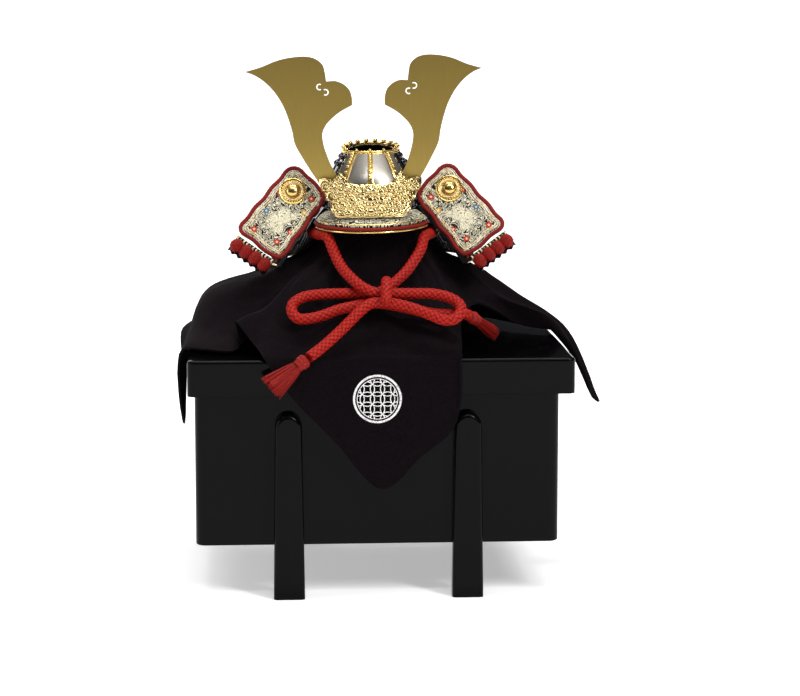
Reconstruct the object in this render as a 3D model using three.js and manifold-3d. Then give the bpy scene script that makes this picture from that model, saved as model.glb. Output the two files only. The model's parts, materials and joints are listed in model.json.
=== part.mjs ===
// Display helmet (kabuto) at a third of full size, tied over a cloth-covered stand on its lacquered
// storage box. Millimetres, +Z up, the front faces -Y and +X is the viewer's right.
import * as THREE from 'three';
import { mergeVertices } from 'three/addons/utils/BufferGeometryUtils.js';
import Module from 'manifold-3d';

const wasm = await Module();
wasm.setup();

// Storage box
const CASE_WIDTH = 312;
const CASE_DEPTH = 260;
const LID_SIDE_REACH = 9;
const LID_FRONT_REACH = 10;
const LID_WIDTH = CASE_WIDTH + 2 * LID_SIDE_REACH;
const LID_DEPTH = CASE_DEPTH + 2 * LID_FRONT_REACH;
const LID_HEIGHT = 31;
const LID_WALL = 5;
const LID_TOP = 5;
const LID_CORNER = 6;
const LID_EDGE = 3;
const CASE_CORNER = 9;
const CASE_WALL = 6;
const CASE_HEIGHT = 156;
const CASE_SHIFT = -3.2;
const FOOT_CLEAR = 45;
const LEG_TOP_WIDTH = 23;
const LEG_FOOT_WIDTH = 27;
const LEG_RISE = 115;
const LEG_THICK = 14;
const LEG_EDGE = 4;
const LEG_SPACING = 153;
const SEAT_GAP = 0.3;

// Stand and cloth
const BASE_RADIUS = 62;
const BASE_THICK = 6;
const POST_RADIUS = 11;
const CAP_RADIUS = 26;
const CAP_DROP = 22;
const CLOTH_WALL = 2;
const CLOTH_LIFT = 1.4;

// Helmet
const RIM_RISE = 108;
const HELMET_SHIFT = -1.5;
const HELMET_YAW = -3.5;
const HELMET_ROLL = 1;
const BOWL_RADIUS = 45;
const BOWL_HEIGHT = 46;
const BOWL_WALL = 1.8;
const CROWN_RADIUS = 24;
const CROWN_LIFT = 5.5;
const BAND_HEIGHT = 14;
const BAND_WALL = 1.6;
const BAND_DROP = 2;
const PLATE_THICK = 1;
const PLATE_SEAT = 0.7;
const SPINE_WIDTH = 4.4;
const SPINE_THICK = 1.1;
const RIVET_RADIUS = 1.9;
const KNOB_RADIUS = 2.2;
const VISOR_REACH = 28;
const VISOR_SIDE_REACH = 11;
const VISOR_DROP = 10;
const VISOR_THICK = 1.6;
const RIM_TUBE = 1.1;
const PIPING_TUBE = 1.4;

// Crest
const CREST_WIDTH = 88;
const CREST_HEIGHT = 38;
const CREST_THICK = 1.5;
const CREST_RELIEF = 1.6;
const CREST_BEND = 75;
const CREST_LEAN = 11;
const SOCKET_WIDTH = 12;
const SOCKET_HEIGHT = 15;
const SOCKET_REACH = 36;
const SOCKET_RISE = 18.5;
const HORN_HEIGHT = 110;
const HORN_REACH_LEFT = 108;
const HORN_REACH_RIGHT = 99;
const HORN_THICK = 1.2;
const HORN_ROOT = 22;

// Neck guard and turn-backs
const LAME_COUNT = 5;
const LAME_WIDTH = 14.5;
const LAME_PITCH = 13;
const LAME_THICK = 1.2;
const LAME_STEP = 1.8;
const LAME_SLOPE = 48;
const LAME_END = 60;
const BOARD_LENGTH = 68;
const BOARD_WIDTH = 37.5;
const BOARD_FLARE = 3.5;
const BOARD_THICK = 2;
const BOARD_WAVE = 0.9;
const BOARD_SEAT = 2.2;
const BOARD_INSET = 7.5;
const EDGE_TUBE = 2;
const ROSETTE_RADIUS = 12;
const TUFT_RADIUS = 5.8;
const TUFT_COUNT = 4;
const TUFT_STRIP = 17;

// Chin cord
const CORD_DIAMETER = 9.5;
const CORD_SIDES = 8;
const CORD_STEPS = 36;
const TASSEL_LENGTH = 38;

const LID_LEVEL = FOOT_CLEAR + CASE_HEIGHT + SEAT_GAP + LID_TOP;
const RIM_LEVEL = LID_LEVEL + RIM_RISE;

const FINISHES = {
  lacquer: { color: 0x0b0a0c, roughness: 0.12, metalness: 0 },
  paint: { color: 0x6b5a48, roughness: 0.8, metalness: 0 },
  cloth: { color: 0x17101a, roughness: 0.95, metalness: 0 },
  iron: { color: 0x10121c, roughness: 0.25, metalness: 0.4 },
  silver: { color: 0x9b9a98, roughness: 0.3, metalness: 0.9 },
  gold: { color: 0xd8b45a, roughness: 0.2, metalness: 1 },
  brushed: { color: 0xa58a3e, roughness: 0.45, metalness: 0.9 },
  leather: { color: 0x5d5a50, roughness: 0.8, metalness: 0 },
  piping: { color: 0x8e1b14, roughness: 0.8, metalness: 0 },
  silk: { color: 0xc8281c, roughness: 0.75, metalness: 0 },
};
const materials = {};
for (const [name, finish] of Object.entries(FINISHES)) {
  materials[name] = new THREE.MeshStandardMaterial(finish);
}

const radians = THREE.MathUtils.degToRad;
const lerp = THREE.MathUtils.lerp;
const smoothstep = THREE.MathUtils.smoothstep;

function addPiece(parent, name, geometry, finish) {
  const mesh = new THREE.Mesh(geometry, materials[finish]);
  mesh.name = name;
  parent.add(mesh);
  return mesh;
}

// A surface whose shared corners are merged, without flat triangles, with its faces pointing out.
function closedSurface(geometry) {
  geometry.deleteAttribute('normal');
  geometry.deleteAttribute('uv');
  const merged = mergeVertices(geometry, 1e-4);
  const place = merged.getAttribute('position');
  const kept = [];
  let volume = 0;
  const a = new THREE.Vector3();
  const b = new THREE.Vector3();
  const c = new THREE.Vector3();
  for (let i = 0; i < merged.index.count; i += 3) {
    const corners = [merged.index.getX(i), merged.index.getX(i + 1), merged.index.getX(i + 2)];
    if (new Set(corners).size === 3) {
      kept.push(...corners);
      a.fromBufferAttribute(place, corners[0]);
      b.fromBufferAttribute(place, corners[1]);
      c.fromBufferAttribute(place, corners[2]);
      volume += a.dot(b.cross(c));
    }
  }
  if (volume < 0) {
    kept.reverse();
  }
  merged.setIndex(kept);
  return merged;
}

function toSolid(geometry) {
  const closed = closedSurface(geometry);
  return new wasm.Manifold(new wasm.Mesh({
    numProp: 3,
    vertProperties: new Float32Array(closed.getAttribute('position').array),
    triVerts: new Uint32Array(closed.index.array),
  }));
}

function toGeometry(solid) {
  const mesh = solid.getMesh();
  const geometry = new THREE.BufferGeometry();
  geometry.setAttribute('position', new THREE.BufferAttribute(new Float32Array(mesh.vertProperties), 3));
  geometry.setIndex(Array.from(mesh.triVerts));
  return geometry;
}

function join(first, others) {
  let solid = toSolid(first);
  for (const other of others) {
    solid = solid.add(toSolid(other));
  }
  return toGeometry(solid);
}

function cut(first, others) {
  let solid = toSolid(first);
  for (const other of others) {
    solid = solid.subtract(toSolid(other));
  }
  return toGeometry(solid);
}

// A wall of even thickness behind the surface point(u, v), u and v from 0 to 1.
// A closed wall joins its last column to its first one.
function thinWall(point, columns, rows, thickness, closed = false) {
  const across = closed ? columns : columns + 1;
  const grid = [];
  for (let i = 0; i < across; i += 1) {
    for (let j = 0; j <= rows; j += 1) {
      grid.push(point(i / columns, j / rows));
    }
  }
  const at = (i, j) => {
    const column = closed ? (i + columns) % columns : Math.min(Math.max(i, 0), columns);
    return column * (rows + 1) + Math.min(Math.max(j, 0), rows);
  };
  const back = grid.map((p, index) => {
    const i = Math.floor(index / (rows + 1));
    const j = index % (rows + 1);
    const alongU = grid[at(i + 1, j)].clone().sub(grid[at(i - 1, j)]);
    const alongV = grid[at(i, j + 1)].clone().sub(grid[at(i, j - 1)]);
    if (alongU.lengthSq() < 1e-6) {
      return p.clone().add(new THREE.Vector3(0, 0, -thickness));
    }
    const normal = alongU.cross(alongV).normalize();
    return p.clone().addScaledVector(normal, thickness);
  });
  const half = grid.length;
  const faces = [];
  const quad = (a, b, c, d) => faces.push(a, b, c, a, c, d);
  for (let i = 0; i < columns; i += 1) {
    for (let j = 0; j < rows; j += 1) {
      quad(at(i, j), at(i, j + 1), at(i + 1, j + 1), at(i + 1, j));
      quad(half + at(i, j), half + at(i + 1, j), half + at(i + 1, j + 1), half + at(i, j + 1));
    }
  }
  for (let i = 0; i < columns; i += 1) {
    quad(at(i, 0), at(i + 1, 0), half + at(i + 1, 0), half + at(i, 0));
    quad(at(i, rows), half + at(i, rows), half + at(i + 1, rows), at(i + 1, rows));
  }
  for (let j = 0; !closed && j < rows; j += 1) {
    quad(at(0, j), half + at(0, j), half + at(0, j + 1), at(0, j + 1));
    quad(at(columns, j), at(columns, j + 1), half + at(columns, j + 1), half + at(columns, j));
  }
  const geometry = new THREE.BufferGeometry();
  const flat = [...grid, ...back].flatMap((p) => [p.x, p.y, p.z]);
  geometry.setAttribute('position', new THREE.Float32BufferAttribute(flat, 3));
  geometry.setIndex(faces);
  return closedSurface(geometry);
}

function roundSection(radius, sides) {
  const section = new THREE.Shape();
  for (let i = 0; i < sides; i += 1) {
    const turn = (2 * Math.PI * i) / sides;
    const x = radius * Math.cos(turn);
    const y = radius * Math.sin(turn);
    if (i === 0) {
      section.moveTo(x, y);
    } else {
      section.lineTo(x, y);
    }
  }
  section.closePath();
  return section;
}

function tube(points, radius, sides, steps) {
  const path = new THREE.CatmullRomCurve3(points, false, 'centripetal');
  const options = { steps, extrudePath: path, bevelEnabled: false };
  return closedSurface(new THREE.ExtrudeGeometry(roundSection(radius, sides), options));
}

// A ring of round section along a closed line of points.
function loopTube(points, radius, sides) {
  const count = points.length;
  const middle = points.reduce((sum, p) => sum.add(p), new THREE.Vector3()).divideScalar(count);
  const facing = new THREE.Vector3();
  for (let i = 0; i < count; i += 1) {
    const spoke = points[i].clone().sub(middle);
    facing.add(spoke.cross(points[(i + 1) % count].clone().sub(middle)));
  }
  facing.normalize();
  const flat = [];
  for (let i = 0; i < count; i += 1) {
    const along = points[(i + 1) % count].clone().sub(points[(i + count - 1) % count]).normalize();
    const outward = along.clone().cross(facing).normalize();
    const upward = outward.clone().cross(along).normalize();
    for (let j = 0; j < sides; j += 1) {
      const turn = (2 * Math.PI * j) / sides;
      const p = points[i].clone();
      p.addScaledVector(outward, radius * Math.cos(turn));
      p.addScaledVector(upward, radius * Math.sin(turn));
      flat.push(p.x, p.y, p.z);
    }
  }
  const faces = [];
  for (let i = 0; i < count; i += 1) {
    for (let j = 0; j < sides; j += 1) {
      const next = (i + 1) % count;
      const beside = (j + 1) % sides;
      const corners = [i * sides + j, next * sides + j, next * sides + beside, i * sides + beside];
      faces.push(corners[0], corners[1], corners[2], corners[0], corners[2], corners[3]);
    }
  }
  const geometry = new THREE.BufferGeometry();
  geometry.setAttribute('position', new THREE.Float32BufferAttribute(flat, 3));
  geometry.setIndex(faces);
  return closedSurface(geometry);
}

function roundedRectangle(width, depth, corner) {
  const x = width / 2;
  const y = depth / 2;
  const shape = new THREE.Shape();
  shape.moveTo(-x + corner, -y);
  shape.lineTo(x - corner, -y);
  shape.absarc(x - corner, -y + corner, corner, -Math.PI / 2, 0);
  shape.absarc(x - corner, y - corner, corner, 0, Math.PI / 2);
  shape.absarc(-x + corner, y - corner, corner, Math.PI / 2, Math.PI);
  shape.absarc(-x + corner, -y + corner, corner, Math.PI, 1.5 * Math.PI);
  return shape;
}

function block(width, depth, corner, low, high) {
  const options = { depth: high - low, bevelEnabled: false, curveSegments: 4 };
  const geometry = new THREE.ExtrudeGeometry(roundedRectangle(width, depth, corner), options);
  geometry.translate(0, 0, low);
  return geometry;
}

function buildCase(parent) {
  const high = FOOT_CLEAR + CASE_HEIGHT;
  const outer = block(CASE_WIDTH, CASE_DEPTH, CASE_CORNER, FOOT_CLEAR, high);
  const innerWidth = CASE_WIDTH - 2 * CASE_WALL;
  const innerDepth = CASE_DEPTH - 2 * CASE_WALL;
  const inner = block(innerWidth, innerDepth, CASE_CORNER - CASE_WALL, FOOT_CLEAR + CASE_WALL, high + 1);
  const body = addPiece(parent, 'case_body', cut(outer, [inner]), 'lacquer');
  body.position.x = CASE_SHIFT;
}

function buildLid(parent) {
  const shape = roundedRectangle(LID_WIDTH - 2 * LID_EDGE, LID_DEPTH - 2 * LID_EDGE, LID_CORNER - LID_EDGE);
  const options = {
    depth: LID_HEIGHT - 2 * LID_EDGE,
    bevelThickness: LID_EDGE,
    bevelSize: LID_EDGE,
    bevelSegments: 2,
    curveSegments: 3,
  };
  const outer = new THREE.ExtrudeGeometry(shape, options);
  outer.translate(0, 0, LID_LEVEL - LID_HEIGHT + LID_EDGE);
  const innerWidth = LID_WIDTH - 2 * LID_WALL;
  const innerDepth = LID_DEPTH - 2 * LID_WALL;
  const inner = block(innerWidth, innerDepth, LID_CORNER - LID_EDGE, LID_LEVEL - LID_HEIGHT - 1, LID_LEVEL - LID_TOP);
  addPiece(parent, 'case_lid', cut(outer, [inner]), 'lacquer');
}

// A foot board: a little wider at the floor, with a rounded head and a rounded front.
function legGeometry() {
  const top = LEG_TOP_WIDTH / 2 - LEG_EDGE;
  const foot = LEG_FOOT_WIDTH / 2 - LEG_EDGE;
  const high = FOOT_CLEAR + LEG_RISE;
  const shape = new THREE.Shape();
  shape.moveTo(-foot, 0);
  shape.lineTo(foot, 0);
  shape.lineTo(top, high - LEG_EDGE - top);
  shape.quadraticCurveTo(top, high - LEG_EDGE, 0, high - LEG_EDGE);
  shape.quadraticCurveTo(-top, high - LEG_EDGE, -top, high - LEG_EDGE - top);
  shape.closePath();
  const options = {
    depth: LEG_THICK - LEG_EDGE,
    bevelThickness: LEG_EDGE,
    bevelSize: LEG_EDGE,
    bevelSegments: 2,
    curveSegments: 4,
  };
  const board = new THREE.ExtrudeGeometry(shape, options);
  board.rotateX(Math.PI / 2);
  const slab = new THREE.BoxGeometry(LEG_FOOT_WIDTH * 2, LEG_THICK * 4, LEG_EDGE * 4);
  slab.translate(0, 0, -LEG_EDGE * 2);
  const rear = new THREE.BoxGeometry(LEG_FOOT_WIDTH * 2, LEG_THICK * 2, high * 3);
  rear.translate(0, LEG_THICK, 0);
  return cut(board, [slab, rear]);
}

function buildLegs(parent) {
  for (const [side, sign] of [['left', -1], ['right', 1]]) {
    for (const [face, turn] of [['front', 0], ['back', Math.PI]]) {
      const leg = addPiece(parent, `leg_${face}_${side}`, legGeometry(), 'lacquer');
      const outward = turn === 0 ? -1 : 1;
      leg.rotation.z = turn;
      leg.position.set(CASE_SHIFT + (sign * LEG_SPACING) / 2, outward * (CASE_DEPTH / 2 + SEAT_GAP), 0);
    }
  }
}

// Height of the bowl's inside where the cap of the stand carries it, above the rim level.
const BOWL_LOW = BAND_HEIGHT - BAND_DROP + SEAT_GAP;
const BOWL_PROFILE = [
  { radius: 1.0, height: 0.0 },
  { radius: 0.99, height: 0.13 },
  { radius: 0.944, height: 0.3 },
  { radius: 0.856, height: 0.53 },
  { radius: 0.711, height: 0.76 },
  { radius: 0.611, height: 0.895 },
  { radius: 0.533, height: 1.0 },
];
const bowlCurve = new THREE.CatmullRomCurve3(
  BOWL_PROFILE.map((row) => new THREE.Vector3(row.radius * BOWL_RADIUS, 0, BOWL_LOW + row.height * BOWL_HEIGHT)),
);

// A point on the bowl: turn in degrees from the front, rise from 0 at the band to 1 at the crown.
function bowlPoint(turn, rise, lift) {
  const edge = bowlCurve.getPoint(rise);
  const ahead = bowlCurve.getTangent(rise);
  const radius = edge.x + lift * ahead.z;
  const angle = radians(turn);
  const back = ((1 - Math.cos(angle)) / 2) ** 2;
  const height = edge.z - lift * ahead.x + CROWN_LIFT * back * rise ** 3;
  return new THREE.Vector3(radius * Math.sin(angle), -radius * Math.cos(angle), height);
}

function buildStand(parent) {
  const capHigh = RIM_LEVEL + BOWL_LOW + BOWL_HEIGHT * 0.84;
  const low = LID_LEVEL + SEAT_GAP;
  const profile = [
    [0, low],
    [BASE_RADIUS, low],
    [BASE_RADIUS, low + BASE_THICK],
    [POST_RADIUS, low + BASE_THICK * 1.33],
    [POST_RADIUS, capHigh - CAP_DROP],
    [CAP_RADIUS * 0.92, capHigh - CAP_DROP * 0.55],
    [CAP_RADIUS, capHigh - CAP_DROP * 0.32],
    [CAP_RADIUS * 0.88, capHigh - CAP_DROP * 0.14],
    [CAP_RADIUS * 0.6, capHigh - CAP_DROP * 0.04],
    [0, capHigh],
  ];
  const post = new THREE.LatheGeometry(profile.map(([r, z]) => new THREE.Vector2(r, z)), 16);
  post.rotateX(Math.PI / 2);
  const stand = addPiece(parent, 'stand_post', closedSurface(post), 'paint');
  stand.position.x = HELMET_SHIFT;
}

// The cloth's upper part, the same all round: radius as a share of the bowl's radius, height above the
// rim as a share of the bowl's height.
const CLOTH_CROWN = [
  { radius: 0, height: 1.175 },
  { radius: 0.3, height: 1.16 },
  { radius: 0.57, height: 1.07 },
  { radius: 0.67, height: 0.93 },
  { radius: 0.76, height: 0.72 },
  { radius: 0.85, height: 0.4 },
  { radius: 0.88, height: 0.0 },
];
// The cloth's folds in turn round the stand, from the front by way of the right side. The angle is where the
// fold leaves the brow, in degrees. belly pushes its upper half outwards, as a share of the bowl's radius.
// x, y are shares of half the lid's width and depth, z of the rim's rise above the lid.
const CLOTH_FOLDS = [
  { angle: 0, belly: 0.0, knee: [0, -0.955, 0.095], foot: [0, -1.03, -0.03], hem: [0, -1.045, -1.02] },
  { angle: 13, belly: 0.0, knee: [0.18, -0.955, 0.095], foot: [0.19, -1.03, -0.03], hem: [0.195, -1.045, -0.77] },
  { angle: 26, belly: 0.02, knee: [0.32, -0.945, 0.1], foot: [0.35, -1.03, -0.03], hem: [0.372, -1.045, -0.52] },
  { angle: 34, belly: 0.02, knee: [0.37, -0.9, 0.12], foot: [0.4, -1.0, 0.05], hem: [0.4, -1.045, 0.0] },
  { angle: 45, belly: 0.04, knee: [0.395, -0.77, 0.2], foot: [0.42, -0.81, 0.12], hem: [0.425, -0.84, 0.06] },
  { angle: 57, belly: 0.03, knee: [0.4, -0.61, 0.34], foot: [0.425, -0.65, 0.29], hem: [0.435, -0.68, 0.25] },
  { angle: 68, belly: -0.06, knee: [0.47, -0.36, 0.42], foot: [0.52, -0.36, 0.38], hem: [0.555, -0.355, 0.35] },
  { angle: 77, belly: -0.02, knee: [0.62, -0.2, 0.4], foot: [0.72, -0.16, 0.25], hem: [0.8, -0.12, 0.12] },
  { angle: 80, belly: 0.02, knee: [0.65, -0.185, 0.385], foot: [0.85, -0.13, 0.21], hem: [1.03, -0.08, 0.03] },
  { angle: 83, belly: 0.05, knee: [0.68, -0.17, 0.37], foot: [0.97, -0.11, 0.17], hem: [1.17, -0.04, -0.34] },
  { angle: 87, belly: -0.03, knee: [0.72, -0.09, 0.35], foot: [1.0, -0.06, 0.13], hem: [1.22, -0.01, -0.52] },
  { angle: 93, belly: 0.06, knee: [0.78, 0.0, 0.38], foot: [1.06, 0.0, 0.08], hem: [1.255, 0.02, -0.56] },
  { angle: 101, belly: 0.0, knee: [0.72, 0.13, 0.36], foot: [0.98, 0.1, 0.12], hem: [1.18, 0.07, -0.34] },
  { angle: 106, belly: -0.02, knee: [0.67, 0.22, 0.35], foot: [0.86, 0.23, 0.17], hem: [1.03, 0.23, 0.03] },
  { angle: 112, belly: -0.04, knee: [0.62, 0.3, 0.34], foot: [0.74, 0.34, 0.2], hem: [0.84, 0.38, 0.06] },
  { angle: 130, belly: 0.04, knee: [0.52, 0.64, 0.26], foot: [0.58, 0.74, 0.14], hem: [0.63, 0.83, 0.05] },
  { angle: 146, belly: 0.0, knee: [0.42, 0.92, 0.14], foot: [0.5, 1.0, 0.05], hem: [0.55, 1.045, 0.0] },
  { angle: 163, belly: 0.05, knee: [0.2, 0.955, 0.1], foot: [0.22, 1.03, -0.03], hem: [0.25, 1.045, -0.65] },
  { angle: 180, belly: 0.0, knee: [0, 0.955, 0.095], foot: [0, 1.03, -0.03], hem: [0, 1.045, -1.0] },
  { angle: 197, belly: 0.05, knee: [-0.2, 0.955, 0.1], foot: [-0.22, 1.03, -0.03], hem: [-0.25, 1.045, -0.64] },
  { angle: 214, belly: 0.0, knee: [-0.42, 0.92, 0.14], foot: [-0.5, 1.0, 0.05], hem: [-0.55, 1.045, 0.0] },
  { angle: 232, belly: 0.04, knee: [-0.57, 0.66, 0.3], foot: [-0.64, 0.78, 0.15], hem: [-0.69, 0.86, 0.05] },
  { angle: 248, belly: 0.0, knee: [-0.78, 0.36, 0.4], foot: [-0.92, 0.5, 0.16], hem: [-1.04, 0.58, 0.03] },
  { angle: 260, belly: -0.08, knee: [-0.89, 0.16, 0.42], foot: [-1.0, 0.18, 0.06], hem: [-1.045, 0.2, -0.3] },
  { angle: 270, belly: -0.08, knee: [-0.91, 0.0, 0.4], foot: [-1.01, -0.04, 0.03], hem: [-1.045, -0.12, -0.68] },
  { angle: 279, belly: -0.06, knee: [-0.9, -0.18, 0.43], foot: [-0.985, -0.38, 0.16], hem: [-1.04, -0.6, 0.03] },
  { angle: 288, belly: 0.02, knee: [-0.8, -0.34, 0.4], foot: [-0.88, -0.56, 0.17], hem: [-0.9, -0.74, 0.05] },
  { angle: 297, belly: -0.02, knee: [-0.69, -0.5, 0.28], foot: [-0.75, -0.68, 0.14], hem: [-0.775, -0.82, 0.05] },
  { angle: 304, belly: -0.04, knee: [-0.64, -0.58, 0.22], foot: [-0.7, -0.66, 0.13], hem: [-0.735, -0.71, 0.07] },
  { angle: 311, belly: 0.04, knee: [-0.6, -0.6, 0.36], foot: [-0.69, -0.65, 0.31], hem: [-0.755, -0.68, 0.26] },
  { angle: 319, belly: 0.05, knee: [-0.56, -0.7, 0.29], foot: [-0.63, -0.77, 0.21], hem: [-0.665, -0.85, 0.12] },
  { angle: 328, belly: 0.03, knee: [-0.49, -0.9, 0.14], foot: [-0.56, -1.01, 0.05], hem: [-0.6, -1.045, 0.02] },
  { angle: 337, belly: 0.0, knee: [-0.4, -0.945, 0.1], foot: [-0.45, -1.03, -0.03], hem: [-0.485, -1.045, -0.25] },
  { angle: 348, belly: 0.0, knee: [-0.21, -0.955, 0.095], foot: [-0.23, -1.03, -0.03], hem: [-0.245, -1.045, -0.64] },
];
// Where the cloth's cross folds lie, counted in levels of its profile, closer together at the lid's edge.
const CLOTH_STOPS = [0, 1, 2, 3, 4, 5, 6, 7, 8, 8.6, 9, 9.35, 9.7, 10, 10.3, 11];
const BROW_RADIUS = 1.17;
const BROW_DROP = 0.21;

function clothProfile(fold) {
  const turn = radians(fold.angle);
  const across = Math.sin(turn);
  const ahead = -Math.cos(turn);
  const ring = (radius, height) => new THREE.Vector3(HELMET_SHIFT + radius * across, radius * ahead, height);
  const profile = CLOTH_CROWN.map((row) => ring(row.radius * BOWL_RADIUS, RIM_LEVEL + row.height * BOWL_HEIGHT));
  const brow = ring(BROW_RADIUS * BOWL_RADIUS, RIM_LEVEL - BROW_DROP * RIM_RISE);
  const onLid = ([x, y, z]) => new THREE.Vector3((x * LID_WIDTH) / 2, (y * LID_DEPTH) / 2, LID_LEVEL + z * RIM_RISE);
  const knee = onLid(fold.knee);
  const middle = brow.clone().lerp(knee, 0.5);
  const push = BOWL_RADIUS * fold.belly;
  middle.add(new THREE.Vector3(push * across, push * ahead, push));
  profile.push(brow, middle, knee, onLid(fold.foot), onLid(fold.hem));
  return profile;
}

function clothSurface() {
  const profiles = CLOTH_FOLDS.map(clothProfile);
  const levels = profiles[0].length;
  const rings = [];
  for (let level = 0; level < levels; level += 1) {
    rings.push(new THREE.CatmullRomCurve3(profiles.map((profile) => profile[level]), true, 'centripetal'));
  }
  return (u, v) => {
    const line = new THREE.CatmullRomCurve3(rings.map((ring) => ring.getPoint(u)), false, 'centripetal');
    return line.getPoint(v / (levels - 1));
  };
}

// Moves a point of the cloth out of the lid's reach, by the shortest way.
function clearOfLid(p) {
  const room = CLOTH_WALL + CLOTH_LIFT;
  const inX = LID_WIDTH / 2 + room - Math.abs(p.x);
  const inY = LID_DEPTH / 2 + room - Math.abs(p.y);
  const inZ = LID_LEVEL + room - p.z;
  const least = Math.min(inX, inY, inZ);
  if (least > 0 && least === inZ) {
    p.z += inZ;
  } else if (least > 0 && least === inX) {
    p.x += Math.sign(p.x) * inX;
  } else if (least > 0) {
    p.y += Math.sign(p.y) * inY;
  }
  return p;
}

function buildCloth(parent) {
  const surface = clothSurface();
  const rows = CLOTH_STOPS.length - 1;
  const place = (u, v) => clearOfLid(surface(u, CLOTH_STOPS[Math.round(v * rows)]));
  const wall = thinWall(place, CLOTH_FOLDS.length, rows, CLOTH_WALL, true);
  const room = 2 * SEAT_GAP;
  const lidSpace = block(LID_WIDTH + room, LID_DEPTH + room, LID_CORNER, FOOT_CLEAR, LID_LEVEL + SEAT_GAP);
  addPiece(parent, 'drape_cloth', cut(wall, [lidSpace]), 'cloth');
}

function buildBowl(parent) {
  const shell = thinWall((u, v) => bowlPoint(-360 * u, v, 0), 28, 6, BOWL_WALL, true);
  addPiece(parent, 'bowl', shell, 'iron');

  const inner = BOWL_RADIUS + SEAT_GAP;
  const outer = inner + BAND_WALL;
  const low = -BAND_DROP;
  const high = BAND_HEIGHT - BAND_DROP;
  const section = [
    [inner - BOWL_WALL, low],
    [outer, low],
    [outer, high],
    [inner - BOWL_WALL, high],
    [inner - BOWL_WALL, low],
  ];
  const band = new THREE.LatheGeometry(section.map(([r, z]) => new THREE.Vector2(r, z)), 32);
  band.rotateX(Math.PI / 2);
  addPiece(parent, 'waist_band', closedSurface(band), 'iron');

  const plateTurn = 50;
  const plate = thinWall((u, v) => bowlPoint(
    lerp(plateTurn, -plateTurn, u),
    lerp(0.05, 0.97, v),
    PLATE_SEAT + PLATE_THICK,
  ), 14, 5, PLATE_THICK);
  addPiece(parent, 'front_plate', plate, 'silver');
}

// A spine: a narrow gilt strip down the front plate, with a row of round rivets and a leaf at its foot.
const SPINE_OUTLINE = [
  { rise: 0.33, width: 0.2 },
  { rise: 0.37, width: 1.5 },
  { rise: 0.43, width: 2.1 },
  { rise: 0.47, width: 1.0 },
  { rise: 0.52, width: 1.0 },
  { rise: 0.7, width: 1.0 },
  { rise: 0.96, width: 1.0 },
];
function spineGeometry(turn) {
  const floor = PLATE_SEAT + SEAT_GAP + PLATE_THICK;
  const last = SPINE_OUTLINE.length - 1;
  const strip = thinWall((u, v) => {
    const step = Math.min(Math.floor(v * last), last - 1);
    const mix = v * last - step;
    const rise = lerp(SPINE_OUTLINE[step].rise, SPINE_OUTLINE[step + 1].rise, mix);
    const width = lerp(SPINE_OUTLINE[step].width, SPINE_OUTLINE[step + 1].width, mix);
    const radius = bowlCurve.getPoint(rise).x;
    const spread = THREE.MathUtils.radToDeg((width * SPINE_WIDTH) / 2 / radius);
    return bowlPoint(turn + lerp(spread, -spread, u), rise, floor + SPINE_THICK);
  }, 2, last, SPINE_THICK);
  const rivets = [];
  for (let i = 0; i < 6; i += 1) {
    const rivet = new THREE.SphereGeometry(RIVET_RADIUS, 6, 3);
    const seat = bowlPoint(turn, lerp(0.5, 0.93, i / 5), floor + SPINE_THICK + RIVET_RADIUS * 0.35);
    rivet.translate(seat.x, seat.y, seat.z);
    rivets.push(rivet);
  }
  return join(strip, rivets);
}

function crownEdge(turn, lift) {
  return bowlPoint(turn, 1, 0).add(new THREE.Vector3(0, 0, lift));
}

// The crown ring stands on the edge of the open crown, with round knobs round its sides and back.
function buildCrown(parent) {
  const ring = [];
  const segments = 24;
  const tubeRadius = 1.3;
  for (let i = 0; i < segments; i += 1) {
    ring.push(crownEdge((360 * i) / segments, tubeRadius + SEAT_GAP + 0.2));
  }
  const knobs = [];
  const count = 12;
  for (let i = 0; i < count; i += 1) {
    const knob = new THREE.SphereGeometry(KNOB_RADIUS, 6, 3);
    const seat = crownEdge(lerp(72, 288, i / (count - 1)), tubeRadius + SEAT_GAP + KNOB_RADIUS);
    knob.translate(seat.x, seat.y, seat.z);
    knobs.push(knob);
  }
  addPiece(parent, 'crown_ring', join(loopTube(ring, tubeRadius, 5), knobs), 'gold');
}

const VISOR_TURN = 56;
const VISOR_INNER = BOWL_RADIUS + SEAT_GAP + BAND_WALL + SEAT_GAP;
const VISOR_HIGH = 8;
// A point on the visor: side from -1 to 1, reach from 0 at the band to 1 at the rim, further beyond it.
function visorPoint(side, reach) {
  const turn = radians(side * VISOR_TURN);
  const spread = Math.cos((side * Math.PI) / 2);
  const length = lerp(VISOR_SIDE_REACH, VISOR_REACH, spread);
  const radius = VISOR_INNER + reach * length;
  const fall = VISOR_DROP * lerp(0.72, 1, spread) * (0.75 * reach + 0.25 * reach * reach);
  return new THREE.Vector3(radius * Math.sin(turn), -radius * Math.cos(turn), VISOR_HIGH - fall);
}

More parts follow.
